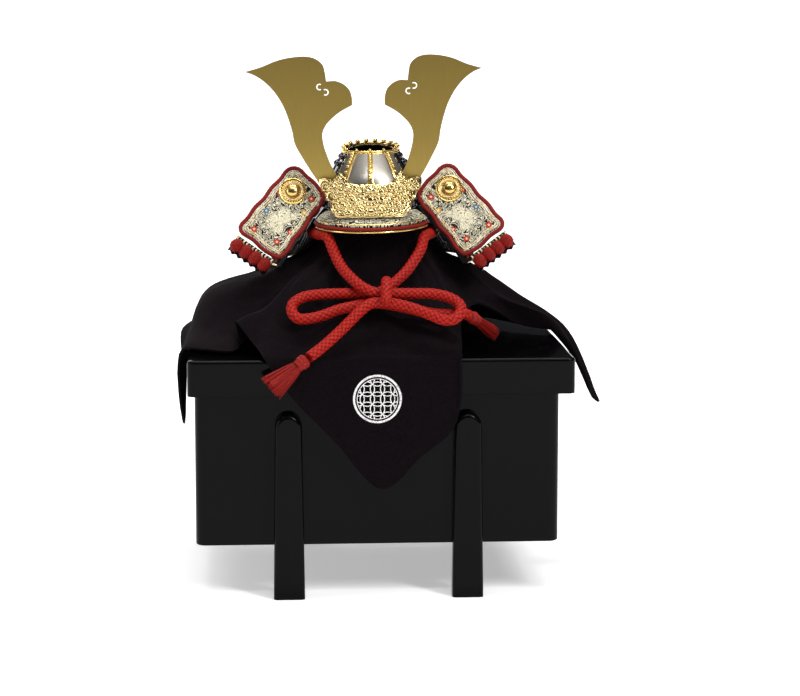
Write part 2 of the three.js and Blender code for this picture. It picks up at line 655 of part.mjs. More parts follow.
function buildVisor(parent) {
  addPiece(parent, 'visor', thinWall((u, v) => visorPoint(lerp(1, -1, u), v), 16, 3, VISOR_THICK), 'leather');
  const edge = (beyond, lift) => {
    const points = [];
    for (let i = 0; i <= 14; i += 1) {
      const side = lerp(-0.97, 0.97, i / 14);
      const p = visorPoint(side, 1);
      const out = visorPoint(side, 1.1).sub(p).normalize();
      points.push(p.addScaledVector(out, beyond).add(new THREE.Vector3(0, 0, lift)));
    }
    return points;
  };
  const pipingOut = SEAT_GAP + PIPING_TUBE;
  const pipingLift = -VISOR_THICK / 2;
  addPiece(parent, 'visor_piping', tube(edge(pipingOut, pipingLift), PIPING_TUBE, 6, 18), 'piping');
  const rimLift = pipingLift - PIPING_TUBE - RIM_TUBE - SEAT_GAP;
  addPiece(parent, 'visor_rim', tube(edge(pipingOut, rimLift), RIM_TUBE, 6, 18), 'gold');
}

// The crest holder's outline: x as a share of half its width, low and high as shares of its height.
const CREST_OUTLINE = [
  { x: -1.0, low: 0.74, high: 0.86 },
  { x: -0.93, low: 0.6, high: 0.87 },
  { x: -0.82, low: 0.38, high: 0.84 },
  { x: -0.74, low: 0.12, high: 0.83 },
  { x: -0.67, low: 0.04, high: 0.92 },
  { x: -0.6, low: 0.0, high: 1.0 },
  { x: -0.52, low: 0.0, high: 0.9 },
  { x: -0.42, low: 0.0, high: 0.76 },
  { x: -0.25, low: 0.0, high: 0.72 },
  { x: 0.0, low: 0.0, high: 0.73 },
];
function crestEdge(x, name) {
  const place = -Math.abs(x);
  let i = 0;
  while (i < CREST_OUTLINE.length - 2 && CREST_OUTLINE[i + 1].x < place) {
    i += 1;
  }
  const a = CREST_OUTLINE[i];
  const b = CREST_OUTLINE[i + 1];
  return lerp(a[name], b[name], smoothstep(place, a.x, b.x));
}

// Scrollwork: curls that wind about centres on both halves, raised from the plate.
const CREST_CURLS = [
  { x: 0, y: 0.4, size: 0.3 },
  { x: 0.33, y: 0.2, size: 0.2 },
  { x: 0.36, y: 0.56, size: 0.22 },
  { x: 0.62, y: 0.36, size: 0.24 },
  { x: 0.6, y: 0.76, size: 0.2 },
  { x: 0.84, y: 0.66, size: 0.2 },
];
function crestRelief(x, y) {
  const side = Math.abs(x);
  let height = 0.25;
  for (const curl of CREST_CURLS) {
    const dx = (side - curl.x) * (CREST_WIDTH / 2 / CREST_HEIGHT);
    const dy = y - curl.y;
    const distance = Math.hypot(dx, dy) / curl.size;
    const wave = 0.5 + 0.5 * Math.cos(2 * Math.PI * distance * 1.25 + Math.atan2(dy, dx));
    height = Math.max(height, wave * Math.max(0, 1.15 - distance));
  }
  return height;
}

function crestPoint(x, height, forward) {
  const lean = -VISOR_INNER - 0.58 * VISOR_REACH + CREST_LEAN * (height / CREST_HEIGHT);
  return new THREE.Vector3(x, lean + (x * x) / (2 * CREST_BEND) - forward, CREST_FOOT + height);
}
const CREST_FOOT = 5.4;

function buildCrest(parent) {
  const plate = thinWall((u, v) => {
    const x = lerp(-1, 1, u);
    const y = lerp(crestEdge(x, 'low'), crestEdge(x, 'high'), v);
    const rim = Math.min(1, 6 * Math.min(u, 1 - u, v, 1 - v));
    return crestPoint((x * CREST_WIDTH) / 2, y * CREST_HEIGHT, CREST_RELIEF * crestRelief(x, y) * rim);
  }, 28, 7, CREST_THICK);
  const sockets = [];
  for (const sign of [-1, 1]) {
    const socket = new THREE.BoxGeometry(SOCKET_WIDTH, SOCKET_WIDTH, SOCKET_HEIGHT);
    const seat = HORN_PLANE - HORN_THICK / 2 - SEAT_GAP;
    socket.translate(sign * SOCKET_REACH, seat - SOCKET_WIDTH / 2, CREST_FOOT + SOCKET_RISE);
    sockets.push(socket);
  }
  addPiece(parent, 'crest_holder', join(plate, sockets), 'gold');
}
const HORN_PLANE = -39.4;

// The horn's outline: x outward from the helmet's middle as a share of the horn's reach, z up from the crest
// holder's top as a share of its height. The tip comes first, then the top edge, the lobe and the inner edge.
const HORN_TOP = [[1.0, 0.886], [0.87, 0.921], [0.737, 0.971], [0.612, 0.995], [0.497, 0.998], [0.425, 0.978],
  [0.37, 0.93], [0.353, 0.87]];
const HORN_LOBE = [[0.344, 0.8], [0.27, 0.802], [0.204, 0.775], [0.158, 0.73], [0.139, 0.668], [0.137, 0.62]];
const HORN_INNER = [[0.137, 0.61], [0.232, 0.56], [0.302, 0.508], [0.356, 0.45], [0.383, 0.39], [0.378, 0.31],
  [0.352, 0.22], [0.316, 0.13], [0.272, 0.05]];
const HORN_OUTER = [[0.436, 0.02], [0.483, 0.09], [0.55, 0.2], [0.608, 0.31], [0.628, 0.41], [0.66, 0.52],
  [0.7, 0.62], [0.77, 0.73], [0.85, 0.81], [0.928, 0.86], [1.0, 0.886]];
const HORN_CURLS = [[0.345, 0.753], [0.396, 0.715]];

function hornGeometry(reach) {
  const place = ([x, z]) => new THREE.Vector2(x * reach, z * HORN_HEIGHT);
  const shape = new THREE.Shape();
  const start = place(HORN_TOP[0]);
  shape.moveTo(start.x, start.y);
  shape.splineThru(HORN_TOP.slice(1).map(place));
  const notch = place(HORN_LOBE[0]);
  shape.lineTo(notch.x, notch.y);
  shape.splineThru(HORN_LOBE.slice(1).map(place));
  const corner = place(HORN_INNER[0]);
  shape.lineTo(corner.x, corner.y);
  shape.splineThru(HORN_INNER.slice(1).map(place));
  const innerRoot = place(HORN_INNER[HORN_INNER.length - 1]);
  const outerRoot = place(HORN_OUTER[0]);
  shape.lineTo(innerRoot.x + 1, -HORN_ROOT);
  shape.lineTo(outerRoot.x - 1, -HORN_ROOT);
  shape.lineTo(outerRoot.x, outerRoot.y);
  shape.splineThru(HORN_OUTER.slice(1).map(place));
  const curlOuter = 2.9;
  const curlInner = 1.9;
  for (const [x, z] of HORN_CURLS) {
    const middle = place([x, z]);
    const slit = new THREE.Path();
    const from = radians(-150);
    const to = radians(105);
    slit.absarc(middle.x, middle.y, curlOuter, from, to, false);
    slit.absarc(middle.x, middle.y, curlInner, to, from, true);
    shape.holes.push(slit);
  }
  const options = { depth: HORN_THICK, bevelEnabled: false, curveSegments: 2 };
  const plate = new THREE.ExtrudeGeometry(shape, options);
  plate.rotateX(Math.PI / 2);
  plate.translate(0, HORN_THICK / 2, 0);
  return closedSurface(plate);
}

function buildHorns(parent) {
  for (const [side, sign, reach] of [['left', -1, HORN_REACH_LEFT], ['right', 1, HORN_REACH_RIGHT]]) {
    const horn = addPiece(parent, `horn_${side}`, hornGeometry(reach), 'brushed');
    horn.scale.x = sign;
    horn.position.set(0, HORN_PLANE, CREST_FOOT + 0.79 * CREST_HEIGHT);
  }
}

const LAME_TOP_RADIUS = BOWL_RADIUS + SEAT_GAP + BAND_WALL + SEAT_GAP;
const LAME_TOP_HEIGHT = 11;
// A point of the neck guard: turn in degrees from the front, run down its slope, lift off its slope.
function guardPoint(turn, run, lift) {
  const slope = radians(LAME_SLOPE);
  const radius = LAME_TOP_RADIUS + run * Math.cos(slope) + lift * Math.sin(slope);
  const height = LAME_TOP_HEIGHT - run * Math.sin(slope) + lift * Math.cos(slope);
  const angle = radians(turn);
  return new THREE.Vector3(radius * Math.sin(angle), -radius * Math.cos(angle), height);
}

function buildNeckGuard(parent) {
  for (let i = 0; i < LAME_COUNT; i += 1) {
    const band = thinWall((u, v) => guardPoint(
      lerp(360 - LAME_END, LAME_END, u),
      i * LAME_PITCH + (1 - v) * LAME_WIDTH,
      LAME_THICK + (i === 0 ? 0 : LAME_STEP * v),
    ), 20, 1, LAME_THICK);
    addPiece(parent, `neck_lame_${i + 1}`, band, 'iron');
  }
}

// The turn-backs lie in a plane just in front of the lames' ends: u runs down the fold, v to the free edge.
function boardFrame() {
  const top = guardPoint(LAME_END, 0, 0);
  const bottom = guardPoint(LAME_END, LAME_COUNT * LAME_PITCH, 0);
  const down = bottom.clone().sub(top).normalize();
  const up = new THREE.Vector3(34.8, 8, 28.4);
  const normal = down.clone().cross(up).normalize();
  const across = normal.clone().cross(down).normalize();
  const start = top.clone().addScaledVector(down, -7).addScaledVector(normal, BOARD_SEAT);
  start.addScaledVector(across, BOARD_INSET);
  return new THREE.Matrix4().makeBasis(down, across, normal).setPosition(start);
}

function boardOutline(offset, count) {
  const shape = new THREE.Shape();
  const far = BOARD_WIDTH + BOARD_FLARE;
  const round = 5;
  shape.moveTo(round, 0);
  shape.lineTo(BOARD_LENGTH - round, 0);
  shape.quadraticCurveTo(BOARD_LENGTH, 0, BOARD_LENGTH, round);
  shape.lineTo(BOARD_LENGTH - 2, far - round);
  shape.quadraticCurveTo(BOARD_LENGTH - 2, far, BOARD_LENGTH - 2 - round, far);
  shape.lineTo(3, BOARD_WIDTH);
  shape.quadraticCurveTo(-6, BOARD_WIDTH - 1, -6, BOARD_WIDTH - 9);
  shape.lineTo(-1, round);
  shape.quadraticCurveTo(-0.5, 0, round, 0);
  const base = shape.getSpacedPoints(count).slice(0, count);
  return base.map((p, i) => {
    const along = base[(i + 1) % count].clone().sub(base[(i + count - 1) % count]).normalize();
    const wave = BOARD_WAVE * Math.sin((2 * Math.PI * 9 * i) / count);
    return new THREE.Vector2(p.x + along.y * (offset + wave), p.y - along.x * (offset + wave));
  });
}

function rosetteGeometry() {
  const r = ROSETTE_RADIUS;
  const profile = [[0, 0], [r, 0], [r, 0.8], [r * 0.9, 1.4], [r * 0.8, 0.9], [r * 0.72, 0.9], [r * 0.66, 2],
    [r * 0.58, 2.2], [r * 0.46, 3.9], [r * 0.26, 5], [0, 5.4]];
  const disc = new THREE.LatheGeometry(profile.map(([x, y]) => new THREE.Vector2(x, y)), 12);
  disc.rotateX(Math.PI / 2);
  return closedSurface(disc);
}

function buildTurnback(parent, side, sign) {
  const group = new THREE.Group();
  group.scale.x = sign;
  parent.add(group);
  const frame = boardFrame();
  const count = 36;

  const shape = new THREE.Shape(boardOutline(0, count));
  const board = new THREE.ExtrudeGeometry(shape, { depth: BOARD_THICK, bevelEnabled: false });
  addPiece(group, `turnback_${side}`, closedSurface(board).applyMatrix4(frame), 'leather');

  const rope = boardOutline(EDGE_TUBE + SEAT_GAP, count).map((p) => new THREE.Vector3(p.x, p.y, BOARD_THICK / 2));
  addPiece(group, `turnback_piping_${side}`, loopTube(rope, EDGE_TUBE, 5).applyMatrix4(frame), 'piping');

  const rosette = rosetteGeometry();
  rosette.translate(12, 24.2, BOARD_THICK + SEAT_GAP);
  addPiece(group, `rosette_${side}`, rosette.applyMatrix4(frame), 'gold');

  const stripLow = BOARD_LENGTH + 2 * EDGE_TUBE + 2 * SEAT_GAP + 0.3;
  const stripWidth = BOARD_WIDTH + BOARD_FLARE - 2;
  const strip = new THREE.BoxGeometry(TUFT_STRIP, stripWidth, BOARD_THICK);
  strip.translate(stripLow + TUFT_STRIP / 2, stripWidth / 2 + 1, BOARD_THICK / 2);
  addPiece(group, `turnback_lame_${side}`, closedSurface(strip).applyMatrix4(frame), 'iron');

  const backing = new THREE.BoxGeometry(TUFT_RADIUS, stripWidth - 4, 1);
  const face = BOARD_THICK + SEAT_GAP;
  const middle = stripLow + TUFT_STRIP * 0.55;
  backing.translate(middle, stripWidth / 2 + 1, face + 0.5);
  const tufts = [];
  for (let i = 0; i < TUFT_COUNT; i += 1) {
    const tuft = new THREE.SphereGeometry(TUFT_RADIUS, 8, 5);
    tuft.scale(1.1, 0.98, 0.7);
    tuft.translate(middle, 1 + (stripWidth * (i + 0.5)) / TUFT_COUNT, face + 0.7 * TUFT_RADIUS + 0.02);
    tufts.push(tuft);
  }
  addPiece(group, `silk_tufts_${side}`, join(backing, tufts).applyMatrix4(frame), 'silk');
}

// The chin cord's route, in millimetres from the middle of the lid's top: each half starts behind the head,
// passes the cheek, crosses the knot to the other side's loop and ends in its own tail.
const CORD_ROUTE_LEFT = [
  [-0.4, 56, 97.5], [-9, 55.3, 97.5], [-26, 50, 97.5], [-44, 34, 97.5], [-54, 13, 97], [-55, -10, 96.5],
  [-50, -34, 96.5], [-43, -52.8, 96], [-38.5, -63.4, 85.2], [-32.2, -78.8, 72.8], [-24.6, -96, 64.9],
  [-15.7, -108.6, 58.4], [-6.3, -112.6, 54.2], [3, -113, 52.9], [14.1, -113.1, 52.9], [29, -113.2, 52.8],
  [44.9, -113.7, 52.4], [58.4, -116.8, 49.5], [66.9, -122.7, 44.3], [67.1, -130.5, 38.5], [61.2, -135.6, 33.3],
  [52.6, -135.6, 32.7], [42.7, -131.8, 36.1], [30.8, -126.9, 40.5], [18.6, -123.3, 43.8], [8.1, -121, 45.8],
  [-0.8, -120.5, 46.2], [-9.4, -121.7, 45.1], [-17.3, -126.3, 40.2], [-26.3, -130.9, 32.1],
  [-37.4, -136.1, 22.1], [-49.8, -144.2, 12.4], [-62.2, -153.6, 4.4],
];
const CORD_ROUTE_RIGHT = [
  [0.4, 56, 97.5], [9, 55.3, 97.5], [26, 50, 97.5], [43, 34, 97.5], [52, 13, 97], [53, -10, 96.5],
  [48, -34, 96.5], [41.5, -53.4, 94.8], [38.1, -62.5, 86], [31.9, -71.6, 77.2], [24.4, -80.7, 68.5],
  [17, -87.3, 62.3], [9.7, -93.3, 56.8], [-0.5, -98.4, 52.2], [-11.7, -99.4, 51.4], [-30.4, -99.5, 51.6],
  [-52.3, -100.9, 51], [-66.1, -103.1, 48.9], [-74.6, -108.6, 44], [-75.6, -115.3, 38], [-70.7, -120.8, 33.1],
  [-61.3, -121, 32.9], [-49.3, -118.5, 35.2], [-36.4, -113.4, 39.2], [-22.6, -110.3, 41.9],
  [-11.6, -108, 43.7], [-1, -107.5, 44], [10.1, -109.1, 42.6], [22.8, -111.9, 40.3], [35.4, -115.2, 37.6],
  [48.9, -118, 35.6], [60.8, -118.3, 35.3], [70.2, -116.9, 36], [76, -113.5, 33.8],
];
const KNOT_ARC = [[5.5, -107.4, 63.6], [5, -116.4, 62.4], [4.6, -122.8, 58.4], [4.2, -130, 51.2], [4.1, -134.6, 46.6]];
const TASSEL_SECTIONS = [
  { along: 0, wide: 0.13, thick: 0.13 },
  { along: 0.08, wide: 0.19, thick: 0.17 },
  { along: 0.2, wide: 0.17, thick: 0.15 },
  { along: 0.5, wide: 0.24, thick: 0.17 },
  { along: 0.8, wide: 0.31, thick: 0.16 },
  { along: 1, wide: 0.34, thick: 0.15 },
];
const TASSELS = {
  left: { from: [-64.2, -155.1, 3.1], to: [-88, -160.5, -15], wide: 1 },
  right: { from: [77.6, -112.4, 33.0], to: [105, -80, 10], wide: 0.62 },
};

function onLid(points) {
  return points.map(([x, y, z]) => new THREE.Vector3(x, y, LID_LEVEL + z));
}

// A tassel: a short wound head, then threads that spread to a flat end.
function tasselGeometry(tassel) {
  const [from, to] = onLid([tassel.from, tassel.to]);
  const along = to.clone().sub(from).normalize();
  const facing = new THREE.Vector3(0, -0.7, 0.7);
  const across = facing.clone().cross(along).normalize();
  const outward = along.clone().cross(across).normalize();
  const locks = 14;
  const flat = [];
  const faces = [];
  const rows = TASSEL_SECTIONS.length;
  TASSEL_SECTIONS.forEach((section) => {
    const middle = from.clone().addScaledVector(along, section.along * TASSEL_LENGTH);
    for (let i = 0; i < locks; i += 1) {
      const turn = (2 * Math.PI * i) / locks;
      const ridge = 1 + 0.07 * section.along * (i % 2 === 0 ? 1 : -1);
      const wide = section.wide * TASSEL_LENGTH * tassel.wide * ridge;
      const thick = section.thick * TASSEL_LENGTH * ridge;
      const p = middle.clone().addScaledVector(across, wide * Math.cos(turn));
      p.addScaledVector(outward, thick * Math.sin(turn));
      flat.push(p.x, p.y, p.z);
    }
  });
  const end = from.clone().addScaledVector(along, 1.04 * TASSEL_LENGTH);
  flat.push(from.x, from.y, from.z, end.x, end.y, end.z);
  for (let i = 0; i < locks; i += 1) {
    const beside = (i + 1) % locks;
    for (let j = 0; j < rows - 1; j += 1) {
      const a = j * locks + i;
      const b = j * locks + beside;
      faces.push(a, b, b + locks, a, b + locks, a + locks);
    }
    faces.push(rows * locks, beside, i);
    faces.push(rows * locks + 1, (rows - 1) * locks + i, (rows - 1) * locks + beside);
  }
  const geometry = new THREE.BufferGeometry();
  geometry.setAttribute('position', new THREE.Float32BufferAttribute(flat, 3));
  geometry.setIndex(faces);
  return closedSurface(geometry);
}

function buildCords(parent) {
  const radius = CORD_DIAMETER / 2;
  addPiece(parent, 'chin_cord_left', tube(onLid(CORD_ROUTE_LEFT), radius, CORD_SIDES, CORD_STEPS), 'silk');
  addPiece(parent, 'chin_cord_right', tube(onLid(CORD_ROUTE_RIGHT), radius, CORD_SIDES, CORD_STEPS), 'silk');
  addPiece(parent, 'cord_knot', tube(onLid(KNOT_ARC), radius, CORD_SIDES, 8), 'silk');
  addPiece(parent, 'tassel_left', tasselGeometry(TASSELS.left), 'silk');
  addPiece(parent, 'tassel_right', tasselGeometry(TASSELS.right), 'silk');
}

function buildHelmet(parent) {
  const helmet = new THREE.Group();
  helmet.position.set(HELMET_SHIFT, 0, RIM_LEVEL);
  helmet.rotation.set(0, radians(-HELMET_ROLL), radians(HELMET_YAW));
  parent.add(helmet);
  buildBowl(helmet);
  const spineTurn = 34;
  addPiece(helmet, 'spine_center', spineGeometry(0), 'gold');
  addPiece(helmet, 'spine_left', spineGeometry(-spineTurn), 'gold');
  addPiece(helmet, 'spine_right', spineGeometry(spineTurn), 'gold');
  buildCrown(helmet);
  buildVisor(helmet);
  buildCrest(helmet);
  buildHorns(helmet);
  buildNeckGuard(helmet);
  buildTurnback(helmet, 'left', -1);
  buildTurnback(helmet, 'right', 1);
}

const part = new THREE.Group();
buildCase(part);
buildLid(part);
buildLegs(part);
buildStand(part);
buildCloth(part);
buildHelmet(part);
const extent = new THREE.Box3().setFromObject(part);
const centre = extent.getCenter(new THREE.Vector3());
buildCords(part);
part.position.set(-centre.x, -centre.y, -extent.min.z);

export default part;
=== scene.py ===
"""Display helmet tied over a cloth-covered stand on its lacquered box: surfaces, looks, light and camera."""

import json
import math
import random

import bmesh
import bpy
from mathutils import Matrix, Vector, noise
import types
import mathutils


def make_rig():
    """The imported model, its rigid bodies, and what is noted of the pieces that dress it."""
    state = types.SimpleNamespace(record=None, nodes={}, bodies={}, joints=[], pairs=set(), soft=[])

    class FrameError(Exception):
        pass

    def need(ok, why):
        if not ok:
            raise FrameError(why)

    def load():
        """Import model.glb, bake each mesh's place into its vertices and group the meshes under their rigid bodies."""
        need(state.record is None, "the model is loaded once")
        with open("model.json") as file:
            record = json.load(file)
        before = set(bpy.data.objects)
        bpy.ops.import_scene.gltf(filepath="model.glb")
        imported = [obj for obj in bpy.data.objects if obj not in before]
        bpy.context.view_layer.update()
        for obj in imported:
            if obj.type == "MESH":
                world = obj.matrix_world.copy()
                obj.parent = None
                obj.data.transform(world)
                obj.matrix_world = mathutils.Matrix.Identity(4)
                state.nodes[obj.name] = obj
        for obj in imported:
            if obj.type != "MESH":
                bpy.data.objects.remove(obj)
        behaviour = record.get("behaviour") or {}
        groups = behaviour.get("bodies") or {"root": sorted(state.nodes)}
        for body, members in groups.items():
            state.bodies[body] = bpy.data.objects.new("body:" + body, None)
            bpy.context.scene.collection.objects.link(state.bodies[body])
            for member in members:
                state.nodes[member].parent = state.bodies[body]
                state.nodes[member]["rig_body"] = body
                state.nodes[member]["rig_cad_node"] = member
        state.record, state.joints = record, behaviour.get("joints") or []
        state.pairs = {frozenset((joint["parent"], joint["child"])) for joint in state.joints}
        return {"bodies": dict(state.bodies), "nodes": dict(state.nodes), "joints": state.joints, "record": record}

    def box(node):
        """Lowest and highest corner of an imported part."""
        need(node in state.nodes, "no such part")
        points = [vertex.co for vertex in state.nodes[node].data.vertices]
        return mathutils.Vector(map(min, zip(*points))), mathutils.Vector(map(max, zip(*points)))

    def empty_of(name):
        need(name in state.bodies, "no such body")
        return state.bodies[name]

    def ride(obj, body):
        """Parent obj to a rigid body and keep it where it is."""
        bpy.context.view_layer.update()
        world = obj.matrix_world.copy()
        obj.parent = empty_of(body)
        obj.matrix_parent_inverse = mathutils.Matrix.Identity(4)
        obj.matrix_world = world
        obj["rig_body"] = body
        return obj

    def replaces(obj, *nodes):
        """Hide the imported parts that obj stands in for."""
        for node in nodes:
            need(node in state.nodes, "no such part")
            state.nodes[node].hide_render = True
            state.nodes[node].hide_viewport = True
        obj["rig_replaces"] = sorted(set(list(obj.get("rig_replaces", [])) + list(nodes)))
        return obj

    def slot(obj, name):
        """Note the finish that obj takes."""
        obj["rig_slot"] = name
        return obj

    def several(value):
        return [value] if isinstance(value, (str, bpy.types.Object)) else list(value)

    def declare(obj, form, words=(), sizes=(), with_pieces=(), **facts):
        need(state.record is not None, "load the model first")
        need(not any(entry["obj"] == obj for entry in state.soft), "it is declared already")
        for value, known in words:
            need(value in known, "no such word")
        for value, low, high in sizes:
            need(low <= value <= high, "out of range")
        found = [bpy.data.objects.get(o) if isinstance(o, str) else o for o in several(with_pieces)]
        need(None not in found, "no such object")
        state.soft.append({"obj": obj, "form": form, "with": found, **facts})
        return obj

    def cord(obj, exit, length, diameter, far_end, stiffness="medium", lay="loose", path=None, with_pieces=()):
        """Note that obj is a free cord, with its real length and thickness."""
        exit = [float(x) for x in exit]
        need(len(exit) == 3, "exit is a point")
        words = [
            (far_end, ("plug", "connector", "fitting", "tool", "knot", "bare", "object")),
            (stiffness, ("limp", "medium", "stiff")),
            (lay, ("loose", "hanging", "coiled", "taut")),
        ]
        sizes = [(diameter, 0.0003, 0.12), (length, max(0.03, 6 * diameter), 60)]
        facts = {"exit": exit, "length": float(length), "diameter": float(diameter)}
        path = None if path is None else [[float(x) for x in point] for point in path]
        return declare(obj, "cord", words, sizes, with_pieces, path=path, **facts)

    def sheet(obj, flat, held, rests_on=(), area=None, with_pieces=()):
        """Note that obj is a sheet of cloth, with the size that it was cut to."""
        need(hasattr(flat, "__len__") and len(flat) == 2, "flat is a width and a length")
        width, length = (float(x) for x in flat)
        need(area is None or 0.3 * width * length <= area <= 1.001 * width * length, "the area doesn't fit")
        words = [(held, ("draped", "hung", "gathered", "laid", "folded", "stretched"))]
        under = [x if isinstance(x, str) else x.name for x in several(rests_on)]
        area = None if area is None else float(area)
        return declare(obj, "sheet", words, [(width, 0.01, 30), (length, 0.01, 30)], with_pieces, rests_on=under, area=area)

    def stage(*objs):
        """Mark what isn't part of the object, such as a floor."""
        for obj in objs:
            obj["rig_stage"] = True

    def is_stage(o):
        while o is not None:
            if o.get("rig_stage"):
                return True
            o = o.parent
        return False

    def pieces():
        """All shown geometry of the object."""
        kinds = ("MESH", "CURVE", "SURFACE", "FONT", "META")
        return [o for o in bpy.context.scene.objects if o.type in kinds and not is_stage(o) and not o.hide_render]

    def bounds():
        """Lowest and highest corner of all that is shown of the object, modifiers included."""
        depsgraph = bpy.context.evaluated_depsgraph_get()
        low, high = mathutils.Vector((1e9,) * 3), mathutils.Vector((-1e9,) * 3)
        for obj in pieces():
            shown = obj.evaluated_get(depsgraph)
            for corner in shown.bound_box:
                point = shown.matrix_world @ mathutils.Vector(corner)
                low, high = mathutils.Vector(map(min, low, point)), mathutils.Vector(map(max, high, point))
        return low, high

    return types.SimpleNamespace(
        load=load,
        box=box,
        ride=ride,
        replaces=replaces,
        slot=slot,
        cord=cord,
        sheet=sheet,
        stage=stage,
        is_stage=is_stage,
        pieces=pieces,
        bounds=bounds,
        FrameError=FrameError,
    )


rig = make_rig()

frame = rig.load()
size_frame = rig.bounds()
random.seed(7)

MM = 0.001
LID_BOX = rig.box("case_lid")
MIDDLE = (Vector(LID_BOX[0]) + Vector(LID_BOX[1])) / 2
SHIFT_X = MIDDLE.x
LID_LEVEL = 206.3
RIM_RISE = 108
RIM_LEVEL = LID_LEVEL + RIM_RISE
LID_WIDTH = 330
LID_DEPTH = 280
CLOTH_WALL = 2
CLOTH_LIFT = 1.4
SEAT_GAP = 0.3
HELMET_SHIFT = -1.5

# Camera: as the photograph was taken, from a little left of the front and 8 degrees up.
CAMERA_AT = Vector((-0.1165, -2.2303, 0.5104))
CAMERA_AIM = Vector((0.015, -0.140, 0.216))
camera_data = bpy.data.cameras.new("camera")
camera_data.lens = 112.5
camera_data.sensor_width = 36
camera_data.clip_end = 40
camera = bpy.data.objects.new("camera", camera_data)
bpy.context.collection.objects.link(camera)
camera.location = CAMERA_AT + Vector((SHIFT_X, 0, 0))
camera.rotation_euler = (CAMERA_AIM - CAMERA_AT).to_track_quat("-Z", "Y").to_euler()
bpy.context.scene.camera = camera


def lerp(a, b, t):
    return a + (b - a) * t


def smooth(low, high, x):
    t = min(max((x - low) / (high - low), 0.0), 1.0)
    return t * t * (3 - 2 * t)


# A smooth line through points, each span timed by the square root of its length.
def catmull(points, closed=False):
    pts = [Vector(p) for p in points]
    count = len(pts)

    def at(i):
        if closed:
            return pts[i % count]
        if i < 0:
            return pts[0] * 2 - pts[1]
        if i >= count:
            return pts[-1] * 2 - pts[-2]
        return pts[i]

    def point(t):
        place = t * (count if closed else count - 1)
        i = math.floor(place)
        w = place - i
        if not closed and i >= count - 1:
            i = count - 2
            w = 1.0
        p0, p1, p2, p3 = at(i - 1), at(i), at(i + 1), at(i + 2)
        d1 = (p2 - p1).length ** 0.5
        if d1 < 1e-4:
            d1 = 1.0
        d0 = (p1 - p0).length ** 0.5
        if d0 < 1e-4:
            d0 = d1
        d2 = (p3 - p2).length ** 0.5
        if d2 < 1e-4:
            d2 = d1
        t1 = ((p1 - p0) / d0 - (p2 - p0) / (d0 + d1) + (p2 - p1) / d1) * d1
        t2 = ((p2 - p1) / d1 - (p3 - p1) / (d1 + d2) + (p3 - p2) / d2) * d1
        c2 = (p2 - p1) * 3 - t1 * 2 - t2
        c3 = (p1 - p2) * 2 + t1 + t2
        return p1 + t1 * w + c2 * (w * w) + c3 * (w * w * w)

    return point


def base_place(p):
    return Vector((p[0] * MM + SHIFT_X, p[1] * MM, p[2] * MM))


HELMET_TURN = Matrix.Rotation(math.radians(-1), 4, "Y") @ Matrix.Rotation(math.radians(-3.5), 4, "Z")


def helmet_place(p):
    q = HELMET_TURN @ Vector(p)
    return Vector(((q.x + HELMET_SHIFT) * MM + SHIFT_X, q.y * MM, (q.z + RIM_LEVEL) * MM))


# A piece from points in millimetres, faces as lists of indices and an optional UV for each point.
def make_piece(
    name, points, faces, look, slot, place=helmet_place, uvs=None, stands_for=(), smooth_angle=40, relief=None
):
    mesh = bpy.data.meshes.new(name)
    bm = bmesh.new()
    heights = bm.verts.layers.float.new("relief") if relief else None
    verts = [bm.verts.new(place(p)) for p in points]
    for vert, value in zip(verts, relief or ()):
        vert[heights] = value
    layer = bm.loops.layers.uv.new("UVMap") if uvs else None
    for face in faces:
        if len(set(face)) < 3:
            continue
        try:
            made = bm.faces.new([verts[i] for i in face])
        except ValueError:
            continue
        made.smooth = True
        if layer:
            for loop, i in zip(made.loops, face):
                loop[layer].uv = uvs[i]
    bmesh.ops.remove_doubles(bm, verts=bm.verts, dist=1e-6)
    loose = [v for v in bm.verts if not v.link_faces]
    bmesh.ops.delete(bm, geom=loose, context="VERTS")
    bmesh.ops.recalc_face_normals(bm, faces=bm.faces)
    limit = math.radians(smooth_angle)
    for edge in bm.edges:
        if len(edge.link_faces) == 2 and edge.calc_face_angle(0) > limit:
            edge.smooth = False
    bm.to_mesh(mesh)
    bm.free()
    piece = bpy.data.objects.new(name, mesh)
    bpy.context.collection.objects.link(piece)
    mesh.materials.append(look)
    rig.ride(piece, "root")
    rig.slot(piece, slot)
    if stands_for:
        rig.replaces(piece, *stands_for)
    return piece


# Points and faces gathered from several bodies, so that they make one piece.
class Body:
    def __init__(self):
        self.points = []
        self.faces = []
        self.uvs = []

    def add(self, points, faces, uvs=None):
        start = len(self.points)
        self.points += [tuple(p) for p in points]
        self.faces += [[start + i for i in face] for face in faces]
        self.uvs += uvs or [(0.0, 0.0)] * len(points)

    def piece(self, name, look, slot, place=helmet_place, stands_for=(), smooth_angle=40):
        return make_piece(name, self.points, self.faces, look, slot, place, self.uvs, stands_for, smooth_angle)


